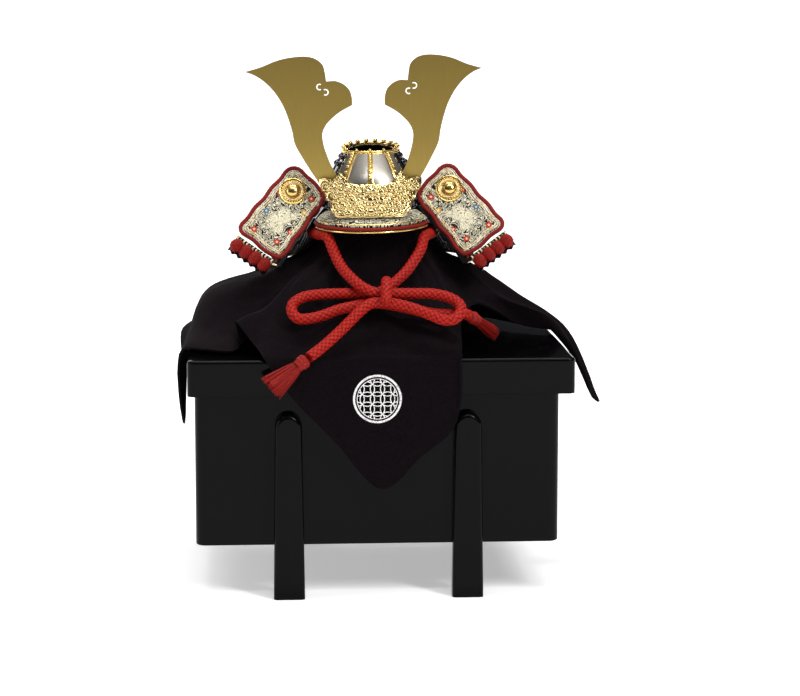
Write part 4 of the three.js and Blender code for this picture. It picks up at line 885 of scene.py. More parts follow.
cord_left, path_left = plaited("cord_silk_left", CORD_ROUTE_LEFT, "chin_cord_left")
cord_right, path_right = plaited("cord_silk_right", CORD_ROUTE_RIGHT, "chin_cord_right")
knot, _ = plaited("cord_silk_knot", KNOT_ARC, "cord_knot", taper=True)
tassel_left = tassel("tassel_silk_left", (-64.2, -155.1, 3.1), (-88, -160.5, -15), 1.0, "tassel_left")
tassel_right = tassel("tassel_silk_right", (77.6, -112.4, 33.0), (105, -80, 10), 0.62, "tassel_right")
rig.cord(
    cord_left, exit=path_left[0], length=CORD_LEFT_LENGTH, diameter=CORD_DIAMETER * MM, far_end="fitting",
    stiffness="limp", lay="loose", path=path_left, with_pieces=[tassel_left, knot])
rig.cord(
    cord_right, exit=path_right[0], length=CORD_RIGHT_LENGTH, diameter=CORD_DIAMETER * MM, far_end="fitting",
    stiffness="limp", lay="loose", path=path_right, with_pieces=[tassel_right])

# The cloth: its upper part is the same all round, its folds run down from the brow.
BOWL_RADIUS = 45
BOWL_HEIGHT = 46
BROW_RADIUS = 1.17
BROW_DROP = 0.21
CLOTH_CROWN = [(0, 1.175), (0.3, 1.16), (0.57, 1.07), (0.67, 0.93), (0.76, 0.72), (0.85, 0.4), (0.88, 0.0)]


def cloth_profile(fold):
    angle, belly, knee, foot, hem = fold
    turn = math.radians(angle)
    across, ahead = math.sin(turn), -math.cos(turn)

    def ring(radius, height):
        return Vector((HELMET_SHIFT + radius * across, radius * ahead, height))

    def on_lid(p):
        return Vector((p[0] * LID_WIDTH / 2, p[1] * LID_DEPTH / 2, LID_LEVEL + p[2] * RIM_RISE))

    profile = [ring(r * BOWL_RADIUS, RIM_LEVEL + h * BOWL_HEIGHT) for r, h in CLOTH_CROWN]
    brow = ring(BROW_RADIUS * BOWL_RADIUS, RIM_LEVEL - BROW_DROP * RIM_RISE)
    push = BOWL_RADIUS * belly
    middle = brow.lerp(on_lid(knee), 0.5) + Vector((push * across, push * ahead, push))
    return profile + [brow, middle, on_lid(knee), on_lid(foot), on_lid(hem)]


def clear_of_lid(p):
    room = CLOTH_WALL + CLOTH_LIFT
    in_x = LID_WIDTH / 2 + room - abs(p.x)
    in_y = LID_DEPTH / 2 + room - abs(p.y)
    in_z = LID_LEVEL + room - p.z
    least = min(in_x, in_y, in_z)
    if least > 0:
        if least == in_z:
            p.z += in_z
        elif least == in_x:
            p.x += math.copysign(in_x, p.x)
        else:
            p.y += math.copysign(in_y, p.y)
    return p


# Soft creases of the front, each from and to (x, height) with a depth and a width.
CREASES = [((9, 250), (62, 160), 3.0, 8), ((-3, 246), (1, 215), 1.8, 5), ((-44, 262), (-72, 214), 2.2, 9)]


def crease_depth(p):
    if p.y > -60:
        return 0.0
    deep = 0.0
    for (x0, z0), (x1, z1), depth, width in CREASES:
        along = Vector((x1 - x0, z1 - z0))
        spot = Vector((p.x - x0, p.z - z0))
        t = spot.dot(along) / along.length_squared
        side = (spot.x * along.y - spot.y * along.x) / along.length
        ends = smooth(-0.15, 0.2, t) * (1 - smooth(0.8, 1.15, t))
        steep = 1 if side < 0 else math.exp(-side / width)
        deep += depth * ends * math.exp(-((side / width) ** 2)) * steep
    return deep


def build_cloth():
    profiles = [cloth_profile(fold) for fold in CLOTH_FOLDS]
    levels = len(profiles[0])
    rings = [catmull([profile[k] for profile in profiles], True) for k in range(levels)]
    columns = len(CLOTH_FOLDS) * 9
    rows = 104
    lines = {}

    def surface(u, v):
        column = round(u * columns)
        if column not in lines:
            lines[column] = catmull([ring(u) for ring in rings])
        p = lines[column](v)
        level = v * (levels - 1)
        loose = smooth(6.6, 8.0, level)
        spot = Vector((p.x, p.y, p.z))
        fine = noise.noise(spot * 0.075) * 1.0 + noise.noise(spot * 0.028 + Vector((9, 4, 2))) * 1.6
        gathers = 0.5 + 0.5 * math.sin(2 * math.pi * u * 27 + 2.5 * noise.noise(spot * 0.03))
        tight = smooth(6.4, 7.1, level) * (1 - smooth(7.6, 9.2, level))
        sink = loose * (0.9 + fine * 0.55) + tight * 1.5 * gathers**2 + crease_depth(p)
        out = Vector((p.x - HELMET_SHIFT, p.y, 0))
        slope = out.normalized() * 0.7 + Vector((0, 0, 0.7)) if out.length > 1 else Vector((0, 0, 1))
        return clear_of_lid(p - slope * max(sink, 0))

    body, faces, uvs = wall(surface, columns, rows, CLOTH_WALL, closed=True)
    return make_piece("cloth_crepe", body, faces, cloth_look, "cloth", base_place, uvs, ["drape_cloth"], 75)


cloth = build_cloth()
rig.sheet(cloth, flat=(0.43, 0.43), held="draped", rests_on=["stand_post", "case_lid"])


# Box, lid and feet, with rounded edges. A line this far beside each rounding keeps the flat faces flat.
FLAT_LINE = 1.5
SMOOTH_STEPS = 8
CORNER_STEPS = 10
RIM_ROUND = 0.6
CASE_SHIFT = -3.2
LEG_SPACING = 76.5
LEG_PLANE = 130.3


def round_edges(bm, edges, offset, segments):
    bmesh.ops.bevel(
        bm, geom=edges, offset=offset, offset_type="OFFSET", segments=segments, profile=0.5, affect="EDGES",
        clamp_overlap=False, material=-1)


def line_across(bm, axis, level):
    spot, normal = Vector(), Vector()
    spot[axis], normal[axis] = level, 1
    bmesh.ops.bisect_plane(
        bm, geom=bm.verts[:] + bm.edges[:] + bm.faces[:], dist=1e-4, plane_co=spot, plane_no=normal)


# The outermost large face along an axis, on the side that sign gives.
def end_face(bm, axis, sign):
    return max(bm.faces, key=lambda f: (round(sign * f.calc_center_median()[axis], 2), f.calc_area()))


# A hollow block, open at its top, or at its underside for a lid.
def open_box(name, size, corner, edge, wall_thick, low, is_lid, shift, stands_for):
    bm = bmesh.new()
    bmesh.ops.create_cube(bm, size=1)
    bmesh.ops.scale(bm, vec=size, verts=bm.verts)
    upright = [e for e in bm.edges if abs(e.verts[0].co.z - e.verts[1].co.z) > 1]
    round_edges(bm, upright, corner, CORNER_STEPS)
    round_edges(bm, end_face(bm, 2, -1).edges[:], edge, SMOOTH_STEPS)
    round_edges(bm, end_face(bm, 2, 1).edges[:], RIM_ROUND, 2)
    mouth = end_face(bm, 2, 1)
    bmesh.ops.inset_region(bm, faces=[mouth], thickness=wall_thick - RIM_ROUND, use_even_offset=True)
    made = bmesh.ops.extrude_face_region(bm, geom=[mouth])["geom"]
    inner = of_kind(made, bmesh.types.BMVert)
    bmesh.ops.translate(bm, vec=(0, 0, wall_thick - size[2]), verts=inner)
    if mouth.is_valid:
        bmesh.ops.delete(bm, geom=[mouth], context="FACES_ONLY")
    line_across(bm, 2, edge + FLAT_LINE - size[2] / 2)
    line_across(bm, 2, size[2] / 2 - RIM_ROUND - FLAT_LINE)
    for axis in (0, 1):
        for inset in (edge + FLAT_LINE, corner + FLAT_LINE):
            line_across(bm, axis, size[axis] / 2 - inset)
            line_across(bm, axis, inset - size[axis] / 2)
    bmesh.ops.scale(bm, vec=(1, 1, -1 if is_lid else 1), verts=bm.verts)
    bmesh.ops.translate(bm, vec=(shift, 0, low + size[2] / 2), verts=bm.verts)
    points, faces, uvs = read_out(bm)
    return make_piece(name, points, faces, lacquer, "lacquer", base_place, uvs, [stands_for], 30)


open_box("box_body", (312, 260, 156), 9, 1.5, 6, 45, False, CASE_SHIFT, "case_body")
open_box("box_lid", (LID_WIDTH, LID_DEPTH, 31), 6, 3, 5, LID_LEVEL - 31, True, 0, "case_lid")


# A foot board: a little wider at the floor, with a round head and a rounded front.
def build_leg(name, side, outward):
    half_foot, half_top, high, thick, edge = 13.45, 11.5, 160.0, 14.0, 4.0
    shoulder = high - half_top
    bm = bmesh.new()
    start = bm.verts.new((half_top, 0, shoulder))
    bmesh.ops.spin(
        bm, geom=[start], cent=(0, 0, shoulder), axis=(0, -1, 0), angle=math.pi, steps=2 * SMOOTH_STEPS)
    bm.verts.new((-half_foot, 0, 0))
    bm.verts.new((half_foot, 0, 0))
    back = bm.faces.new(bm.verts[:])
    made = bmesh.ops.extrude_face_region(bm, geom=[back])["geom"]
    bmesh.ops.translate(bm, vec=(0, thick, 0), verts=of_kind(made, bmesh.types.BMVert))
    front = of_kind(made, bmesh.types.BMFace)[0]
    round_edges(bm, [e for e in front.edges if max(v.co.z for v in e.verts) > 1], edge, SMOOTH_STEPS)
    bmesh.ops.inset_individual(bm, faces=[end_face(bm, 1, 1)], thickness=FLAT_LINE)
    line_across(bm, 1, thick - edge - FLAT_LINE)
    line_across(bm, 2, shoulder - FLAT_LINE)
    for v in bm.verts:
        v.co = (CASE_SHIFT + side * LEG_SPACING - v.co.x * outward, outward * (LEG_PLANE + v.co.y), v.co.z)
    points, faces, uvs = read_out(bm)
    make_piece(name, points, faces, lacquer, "lacquer", base_place, uvs, [name.replace("foot", "leg")], 35)


for side_name, side in (("left", -1), ("right", 1)):
    build_leg("foot_front_" + side_name, side, -1)
    build_leg("foot_back_" + side_name, side, 1)

post = frame["nodes"]["stand_post"]
post.data.materials.clear()
post.data.materials.append(stand_look)

# Bowl: from the waist band up to the open crown
BAND_HEIGHT, BAND_WALL, BAND_DROP = 14, 1.6, 2
BOWL_LOW = BAND_HEIGHT - BAND_DROP + SEAT_GAP
BOWL_WALL = 1.8
CROWN_LIFT = 5.5
PLATE_SEAT, PLATE_THICK = 0.7, 1
BOWL_PROFILE = [
    (1.0, 0.0), (0.99, 0.13), (0.944, 0.3), (0.856, 0.53), (0.711, 0.76), (0.611, 0.895), (0.533, 1.0)]
bowl_line = catmull([(r * BOWL_RADIUS, 0, BOWL_LOW + h * BOWL_HEIGHT) for r, h in BOWL_PROFILE])


def bowl_point(turn, rise, lift):
    edge = bowl_line(rise)
    ahead = (bowl_line(min(rise + 0.001, 1)) - bowl_line(max(rise - 0.001, 0))).normalized()
    radius = edge.x + lift * ahead.z
    a = math.radians(turn)
    back = ((1 - math.cos(a)) / 2) ** 2
    height = edge.z - lift * ahead.x + CROWN_LIFT * back * rise**3
    return Vector((radius * math.sin(a), -radius * math.cos(a), height))


RIB_STEP = 20


def bowl_surface(u, v):
    turn = -360 * u
    near = abs((turn / RIB_STEP + 0.5) % 1 - 0.5) * 2
    front = smooth(48, 56, abs((turn + 180) % 360 - 180))
    return bowl_point(turn, v, -0.05 + 0.55 * front * (1 - smooth(0.0, 0.14, near)))


body, faces, uvs = wall(bowl_surface, 252, 26, BOWL_WALL, closed=True)
make_piece("bowl_plates", body, faces, iron, "black_iron", helmet_place, uvs, ["bowl"], 50)


# A dome-headed rivet standing on the bowl
def rivet(turn, rise, radius, lift, height=0.85):
    seat = bowl_point(turn, rise, lift)
    out = (bowl_point(turn, rise, lift + 1) - seat).normalized()
    side = out.cross(Vector((0, 0, 1))).normalized()
    other = out.cross(side)
    frame_turn = Matrix((side, other, out)).transposed()
    profile = [(0.0, -0.25), (radius, -0.25)]
    for j in range(7):
        a = math.pi / 2 * j / 6
        profile.append((radius * math.cos(a), radius * height * math.sin(a)))
    return moved(lathe(profile, 16), seat, frame_turn)


rivets = Body()
for k in range(18):
    turn = 10 + RIB_STEP * k
    if 48 < turn < 312:
        for j in range(6):
            rivets.add(*rivet(turn, lerp(0.08, 0.88, j / 5), lerp(3.3, 2.5, j / 5), 0.25))
rivets.piece("bowl_rivets", iron, "black_iron", smooth_angle=50)

INNER = BOWL_RADIUS + SEAT_GAP
band_profile = [
    (INNER - BOWL_WALL, -2), (INNER + BAND_WALL, -2),
    (INNER + BAND_WALL + 0.5, -1.4), (INNER + BAND_WALL, -0.6),
    (INNER + BAND_WALL - 0.25, 0.2), (INNER + BAND_WALL - 0.25, 10), (INNER + BAND_WALL, 10.7),
    (INNER + BAND_WALL - 0.3, 12), (INNER - BOWL_WALL, 12), (INNER - BOWL_WALL, -2)]
band, band_faces, band_uvs = lathe(band_profile, 128)
make_piece("bowl_band", band, band_faces, iron, "black_iron", helmet_place, band_uvs, ["waist_band"], 35)
studs = Body()
for k in range(36):
    a = 2 * math.pi * (k + 0.5) / 36
    r = INNER + BAND_WALL - 0.35
    out = Vector((math.cos(a), math.sin(a), 0))
    turn = Matrix((Vector((0, 0, 1)).cross(out), Vector((0, 0, 1)), out)).transposed()
    studs.add(*moved(ball(1.15, 12, 6, 0.75), (r * out.x, r * out.y, 5.2), turn))
studs.piece("bowl_band_studs", gold, "gold", smooth_angle=60)

PLATE_REACH = 50
PLATE_FACE = PLATE_SEAT + PLATE_THICK
plate_body, faces, uvs = wall(
    lambda u, v: bowl_point(lerp(PLATE_REACH, -PLATE_REACH, u), lerp(0.05, 0.97, v), PLATE_FACE), 60, 30,
    PLATE_THICK)
make_piece("plate_silver", plate_body, faces, silver, "silver", helmet_place, uvs, ["front_plate"], 40)
rim = Body()
FLOOR = PLATE_SEAT + SEAT_GAP + PLATE_THICK
for sign in (-1, 1):
    face = PLATE_SEAT + PLATE_THICK * 0.6
    edge = [bowl_point(sign * PLATE_REACH, lerp(0.06, 0.96, k / 14), face) for k in range(15)]
    rim.add(*sweep(spaced(edge, 0.9), lambda turn, along: 0.7, 10))
rim.piece("plate_edge", gold, "gold", smooth_angle=60)

# Spines: gilt strips with round rivets and a leaf at the foot
SPINE_WIDTH, SPINE_THICK = 4.4, 1.1
SPINE_OUTLINE = [(0.33, 0.2), (0.37, 1.5), (0.43, 2.1), (0.47, 1.0), (0.52, 1.0), (0.7, 1.0), (0.96, 1.0)]


def spine(name, turn):
    def place(u, v):
        rise = lerp(0.33, 0.96, v)
        i = max(k for k in range(6) if SPINE_OUTLINE[k][0] <= rise + 1e-9)
        (r0, w0), (r1, w1) = SPINE_OUTLINE[i], SPINE_OUTLINE[i + 1]
        width = lerp(w0, w1, smooth(r0, r1, rise))
        spread = math.degrees(width * SPINE_WIDTH / 2 / bowl_line(rise).x)
        crown = 0.35 * math.cos(math.pi * (u - 0.5))
        if width > 1.3:
            crown -= 0.12 * abs(math.sin(6 * math.pi * u))
        return bowl_point(turn + lerp(spread, -spread, u), rise, FLOOR + SPINE_THICK - 0.3 + crown)

    body = Body()
    body.add(*wall(place, 12, 60, SPINE_THICK - 0.3))
    for j in range(7):
        body.add(*rivet(turn, lerp(0.5, 0.94, j / 6), 1.75, FLOOR + SPINE_THICK - 0.1, 1.0))
    body.piece(name + "_gilt", gold, "gold", stands_for=[name], smooth_angle=50)


spine("spine_center", 0)
spine("spine_left", -34)
spine("spine_right", 34)


def crown_edge(turn, lift):
    return bowl_point(turn, 1, 0) + Vector((0, 0, lift))


crown = Body()
ring = [crown_edge(3 * k, 1.8) for k in range(120)]
crown.add(*sweep(ring, lambda turn, along: 1.3, 12, closed=True))
ring = []
for k in range(120):
    a = math.radians(3 * k)
    ring.append(crown_edge(3 * k, 0.35) + Vector((math.sin(a), -math.cos(a), 0)) * 1.2)
crown.add(*sweep(ring, lambda turn, along: 0.75 + 0.25 * math.sin(along * 3.0), 8, closed=True))
for k in range(12):
    crown.add(*moved(ball(2.2, 16, 10), crown_edge(lerp(72, 288, k / 11), 3.8)))
for k in range(5):
    crown.add(*moved(ball(1.5, 14, 8), crown_edge(lerp(-60, 60, k / 4), 3.4)))
crown.piece("crown_ring_gilt", gold, "gold", stands_for=["crown_ring"], smooth_angle=60)

# Visor: printed leather with red piping and a gilt rim
VISOR_TURN, VISOR_HIGH, VISOR_REACH, VISOR_SIDE_REACH, VISOR_DROP, VISOR_THICK = 56, 8, 28, 11, 10, 1.6
VISOR_INNER = INNER + BAND_WALL + SEAT_GAP
RIM_TUBE, PIPING_TUBE = 1.1, 1.4


def visor_point(side, reach):
    turn = math.radians(side * VISOR_TURN)
    spread = math.cos(side * math.pi / 2)
    length = lerp(VISOR_SIDE_REACH, VISOR_REACH, spread)
    radius = VISOR_INNER + reach * length
    fall = VISOR_DROP * lerp(0.72, 1, spread) * (0.75 * reach + 0.25 * reach * reach)
    return Vector((radius * math.sin(turn), -radius * math.cos(turn), VISOR_HIGH - fall))


body, faces, uvs = wall(
    lambda u, v: visor_point(lerp(1, -1, u), v), 90, 18, VISOR_THICK,
    uv=lambda u, v: (110 * u, 26 * v))
make_piece("visor_leather", body, faces, scroll_leather, "leather", helmet_place, uvs, ["visor"], 40)


def visor_edge(beyond, lift, reach=1.0, low=-0.97, high=0.97):
    points = []
    for k in range(41):
        side = lerp(low, high, k / 40)
        p = visor_point(side, reach)
        out = (visor_point(side, reach + 0.1) - p).normalized()
        points.append(p + out * beyond + Vector((0, 0, lift)))
    return points


def rope(radius, strands, lay):
    def section(turn, along):
        return radius * (0.84 + 0.16 * abs(math.cos(strands / 2 * turn + math.pi * along / lay)))

    return section


piping_out = SEAT_GAP + PIPING_TUBE
body, faces, uvs = sweep(spaced(visor_edge(piping_out, -0.8), 0.4), rope(PIPING_TUBE, 3, 2.2), 14)
make_piece("visor_piping_silk", body, faces, piping_look, "piping", helmet_place, uvs, ["visor_piping"], 80)
rim_lift = -0.8 - PIPING_TUBE - RIM_TUBE - SEAT_GAP
body, faces, uvs = sweep(spaced(visor_edge(piping_out, rim_lift), 1.0), lambda turn, along: RIM_TUBE, 12)
make_piece("visor_rim_gilt", body, faces, gold, "gold", helmet_place, uvs, ["visor_rim"], 80)
lip = spaced(visor_edge(0, 0.9, 0.93, -0.8, 0.8), 1.0)
body, faces, uvs = sweep(lip, lambda turn, along: 1.5 * (1 - 0.25 * abs(math.sin(turn))), 12)
make_piece("visor_lip_gilt", body, faces, gold, "gold", helmet_place, uvs, (), 80)


# Crest holder: a cast and gilt plate of scrollwork
CREST_WIDTH, CREST_HEIGHT, CREST_THICK, CREST_RELIEF = 88, 38, 1.5, 1.6
CREST_BEND, CREST_LEAN, CREST_FOOT = 75, 11, 5.4
CREST_OUTLINE = [
    (-1.0, 0.74, 0.86), (-0.93, 0.6, 0.87), (-0.82, 0.38, 0.84), (-0.74, 0.12, 0.83), (-0.67, 0.04, 0.92),
    (-0.6, 0.0, 1.0), (-0.52, 0.0, 0.9), (-0.42, 0.0, 0.76), (-0.25, 0.0, 0.72), (0.0, 0.0, 0.73)]
CREST_CURLS = [
    (0.0, 0.42, 0.27, 1), (0.2, 0.16, 0.15, -1), (0.24, 0.58, 0.13, 1), (0.37, 0.4, 0.17, -1),
    (0.43, 0.13, 0.14, 1), (0.46, 0.68, 0.12, -1), (0.58, 0.3, 0.16, 1), (0.6, 0.62, 0.15, -1),
    (0.61, 0.87, 0.1, 1), (0.71, 0.47, 0.13, -1), (0.76, 0.7, 0.12, 1), (0.88, 0.72, 0.12, -1),
    (0.64, 0.1, 0.08, -1), (0.12, 0.66, 0.07, -1), (0.29, 0.32, 0.09, 1)]


def crest_edge(x, column):
    place = -abs(x)
    i = 0
    while i < len(CREST_OUTLINE) - 2 and CREST_OUTLINE[i + 1][0] < place:
        i += 1
    a, b = CREST_OUTLINE[i], CREST_OUTLINE[i + 1]
    return lerp(a[column], b[column], smooth(a[0], b[0], place))


# Scrolls wind about their centres, with round buds in the middle and small leaves between.
def crest_relief(x, y):
    side = abs(x)
    height = 0.06
    for cx, cy, size, wind in CREST_CURLS:
        dx = (side - cx) * (CREST_WIDTH / 2 / CREST_HEIGHT)
        dy = y - cy
        distance = math.hypot(dx, dy) / size
        if distance < 1.25:
            angle = math.atan2(dy, dx) * wind
            wave = 0.5 + 0.5 * math.cos(2 * math.pi * distance * 1.5 - angle)
            veins = 0.85 + 0.15 * math.cos(11 * angle + 9 * distance)
            height = max(height, wave**0.7 * veins * min(1, (1.25 - distance) * 2.2))
            if distance < 0.24:
                height = max(height, 0.65 + 0.5 * math.sqrt(1 - (distance / 0.24) ** 2))
    for k in range(6):
        angle = math.pi * (k + 0.5) / 6
        dx = side * (CREST_WIDTH / 2 / CREST_HEIGHT) - 0.17 * math.cos(angle)
        dy = y - 0.42 - 0.17 * math.sin(2 * angle + 0.6)
        height = max(height, 0.95 * max(0, 1 - math.hypot(dx, dy) / 0.07) ** 0.5)
    return min(height, 1.1)


def crest_point(x, height, forward):
    lean = -VISOR_INNER - 0.58 * VISOR_REACH + CREST_LEAN * (height / CREST_HEIGHT)
    return Vector((x, lean + x * x / (2 * CREST_BEND) - forward, CREST_FOOT + height))


def build_crest():
    columns, rows = 300, 110
    relief = []

    def scallop(x):
        return 0.02 * abs(math.sin(math.pi * 9 * abs(x))) * (1 if abs(x) < 0.95 else 0)

    def surface(u, v):
        x = lerp(-1, 1, u)
        y = lerp(crest_edge(x, 1), crest_edge(x, 2) + scallop(x), v)
        rim = min(1, 14 * min(u, 1 - u), 9 * min(v, 1 - v) + 0.15)
        high = crest_relief(x, y) * rim
        border = max(0, 1 - abs(min(v, 1 - v) - 0.045) / 0.04)
        high = max(high, 0.75 * border * rim)
        relief.append(high)
        return crest_point(x * CREST_WIDTH / 2, y * CREST_HEIGHT, (CREST_RELIEF + 0.5) * high)

    body, faces, uvs = wall(surface, columns, rows, CREST_THICK)
    relief += [0.5] * len(relief)
    make_piece("crest_casting", body, faces, gilt, "gold", helmet_place, uvs, ["crest_holder"], 60, relief)
    sockets = Body()
    for sign in (-1, 1):
        y1 = HORN_PLANE - HORN_THICK / 2 - SEAT_GAP
        side_on = [(30, 11), (33, 11), (37.5, 17), (42, 25), (42, 26), (30, 26)]
        behind = [crest_point(x, z, -0.8) for x, z in side_on]
        bm = bmesh.new()
        front = bm.faces.new([bm.verts.new((sign * p.x, p.y, p.z)) for p in behind])
        made = bmesh.ops.extrude_face_region(bm, geom=[front])["geom"]
        for v in of_kind(made, bmesh.types.BMVert):
            v.co.y = y1
        sockets.add(*read_out(bm))
    sockets.piece("crest_sockets", gold, "gold", smooth_angle=30)


HORN_PLANE, HORN_THICK, HORN_ROOT, HORN_HEIGHT = -39.4, 1.2, 22, 110
build_crest()

# Horns: flat brushed plates with two curled slits
HORN_TOP = [
    (1.0, 0.886), (0.87, 0.921), (0.737, 0.971), (0.612, 0.995), (0.497, 0.998), (0.425, 0.978),
    (0.37, 0.93), (0.353, 0.87)]
HORN_LOBE = [(0.344, 0.8), (0.27, 0.802), (0.204, 0.775), (0.158, 0.73), (0.139, 0.668), (0.137, 0.62)]
HORN_INNER = [
    (0.137, 0.61), (0.232, 0.56), (0.302, 0.508), (0.356, 0.45), (0.383, 0.39), (0.378, 0.31), (0.352, 0.22),
    (0.316, 0.13), (0.272, 0.05)]
HORN_OUTER = [
    (0.436, 0.02), (0.483, 0.09), (0.55, 0.2), (0.608, 0.31), (0.628, 0.41), (0.66, 0.52), (0.7, 0.62),
    (0.77, 0.73), (0.85, 0.81), (0.928, 0.86), (1.0, 0.886)]


HORN_SLITS = ((0.398, 0.757, 120, -120), (0.352, 0.715, 300, 60))
SLIT_OUTER, SLIT_INNER = 2.9, 1.9


def build_horn(name, sign, reach, stands_for):
    def run(table):
        pts = [(x * reach, z * HORN_HEIGHT, 0) for x, z in table]
        line = catmull(pts)
        count = (len(pts) - 1) * 8
        return [line(k / count) for k in range(count + 1)]

    inner, outer = run(HORN_INNER), run(HORN_OUTER)
    loop = run(HORN_TOP) + run(HORN_LOBE) + inner
    root = ((30, -HORN_ROOT), (33, -HORN_ROOT), (37, -15.5), (42, -6.5))
    loop += [Vector((x, z, 0)) for x, z in root] + outer[:-1]
    holes = []
    for x, z, first, last in HORN_SLITS:
        slit = []
        middle = Vector((x * reach, z * HORN_HEIGHT, 0))
        for k in range(25):
            a = math.radians(lerp(last, first, k / 24))
            slit.append(middle + Vector((math.cos(a), math.sin(a), 0)) * SLIT_OUTER)
        for k in range(25):
            a = math.radians(lerp(first, last, k / 24))
            slit.append(middle + Vector((math.cos(a), math.sin(a), 0)) * SLIT_INNER)
        holes.append(slit)
    bm = bmesh.new()
    for ring in [loop] + holes:
        verts = []
        for p in ring:
            if not verts or (verts[-1].co - p).length > 0.05:
                verts.append(bm.verts.new(p))
        for a, b in zip(verts, verts[1:] + verts[:1]):
            bm.edges.new((a, b))
    bmesh.ops.triangle_fill(bm, use_beauty=True, use_dissolve=False, edges=bm.edges[:])
    made = bmesh.ops.extrude_face_region(bm, geom=bm.faces[:])
    bmesh.ops.translate(bm, vec=(0, 0, HORN_THICK), verts=of_kind(made["geom"], bmesh.types.BMVert))
    bmesh.ops.recalc_face_normals(bm, faces=bm.faces)
    sharp = [e for e in bm.edges if e.calc_face_angle(0) > 1.2]
    bmesh.ops.bevel(bm, geom=sharp, offset=0.22, segments=2, affect="EDGES", clamp_overlap=True)
    for v in bm.verts:
        x, z, y = v.co
        v.co = helmet_place((sign * x, HORN_PLANE + y - HORN_THICK / 2, CREST_FOOT + 0.79 * CREST_HEIGHT + z))
    bmesh.ops.recalc_face_normals(bm, faces=bm.faces)
    for face in bm.faces:
        face.smooth = True
    for edge in bm.edges:
        edge.smooth = edge.calc_face_angle(0) < 0.9
    mesh = bpy.data.meshes.new(name)
    bm.to_mesh(mesh)
    bm.free()
    piece = bpy.data.objects.new(name, mesh)
    bpy.context.collection.objects.link(piece)
    mesh.materials.append(horn_gold)
    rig.ride(piece, "root")
    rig.slot(piece, "brushed_gold")
    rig.replaces(piece, stands_for)


build_horn("horn_plate_left", -1, 108, "horn_left")
build_horn("horn_plate_right", 1, 99, "horn_right")

# Neck guard: lames of small scales laced with red silk
LAME_COUNT, LAME_WIDTH, LAME_PITCH, LAME_THICK, LAME_STEP = 5, 14.5, 13, 1.2, 1.8
LAME_SLOPE, LAME_END = 48, 60
LAME_TOP_HEIGHT = 11


def guard_point(turn, run, lift):
    slope = math.radians(LAME_SLOPE)
    radius = VISOR_INNER + run * math.cos(slope) + lift * math.sin(slope)
    height = LAME_TOP_HEIGHT - run * math.sin(slope) + lift * math.cos(slope)
    a = math.radians(turn)
    return Vector((radius * math.sin(a), -radius * math.cos(a), height))


for i in range(LAME_COUNT):
    scales = 62 + 10 * i

    def lame(u, v):
        scale = abs(math.sin(math.pi * u * scales))
        lift = LAME_THICK + (0 if i == 0 else LAME_STEP * v) - 0.22 + 0.22 * scale**0.6
        return guard_point(lerp(360 - LAME_END, LAME_END, u), i * LAME_PITCH + (1 - v) * LAME_WIDTH, lift)

    body, faces, uvs = wall(lame, scales * 5, 4, LAME_THICK - 0.2)
    name = "neck_lame_%d" % (i + 1)
    make_piece(name + "_scales", body, faces, iron, "black_iron", helmet_place, uvs, [name], 50)

laces = Body()
edge_gilt = Body()
for i in range(LAME_COUNT):
    count = 22
    for k in range(count):
        turn = lerp(360 - LAME_END - 4, LAME_END + 4, (k + 0.5) / count)
        for off in (-1.1, 1.1):
            shift = math.degrees(off / (VISOR_INNER + i * LAME_PITCH * 0.67))
            low = 0.86 * LAME_PITCH if i < LAME_COUNT - 1 else 0.8 * LAME_PITCH
            start = i * LAME_PITCH + 2.0
            path = []
            for j in range(7):
                run = lerp(start, i * LAME_PITCH + low, j / 6)
                v = 1 - (run - i * LAME_PITCH) / LAME_WIDTH
                lift = LAME_THICK + lerp(-0.2, 0.75, math.sin(math.pi * j / 6) ** 0.5)
                lift += 0 if i == 0 else LAME_STEP * v
                path.append(guard_point(turn + shift, run, lift))
            laces.add(*sweep(path, rope(0.85, 2, 1.6), 6))
run = (LAME_COUNT - 1) * LAME_PITCH + LAME_WIDTH - 0.6
line = [guard_point(lerp(LAME_END + 6, 354 - LAME_END, k / 120), run, LAME_THICK / 2) for k in range(121)]
edge_gilt.add(*sweep(line, lambda turn, along: 0.95, 8))
laces.piece("neck_laces", thread_look, "silk", smooth_angle=70)
edge_gilt.piece("neck_edge", gold, "gold", smooth_angle=70)

# Turn-backs: printed leather boards in a roped edge, with a rosette, beads and a tufted lame below
BOARD_LENGTH, BOARD_WIDTH, BOARD_FLARE, BOARD_THICK, BOARD_WAVE = 68, 37.5, 3.5, 2, 0.55
BOARD_PUFF = 0.35
EDGE_TUBE, ROSETTE_RADIUS, TUFT_RADIUS, TUFT_COUNT, TUFT_STRIP = 2, 12, 5.8, 4, 17
BOARD_SEAT, BOARD_INSET = 2.2, 7.5


def board_frame():
    top = guard_point(LAME_END, 0, 0)
    bottom = guard_point(LAME_END, LAME_COUNT * LAME_PITCH, 0)
    down = (bottom - top).normalized()
    normal = down.cross(Vector((34.8, 8, 28.4))).normalized()
    across = normal.cross(down).normalized()
    start = top - down * 7 + normal * BOARD_SEAT + across * BOARD_INSET
    return start, Matrix((down, across, normal)).transposed()


BOARD_START, BOARD_TURN = board_frame()


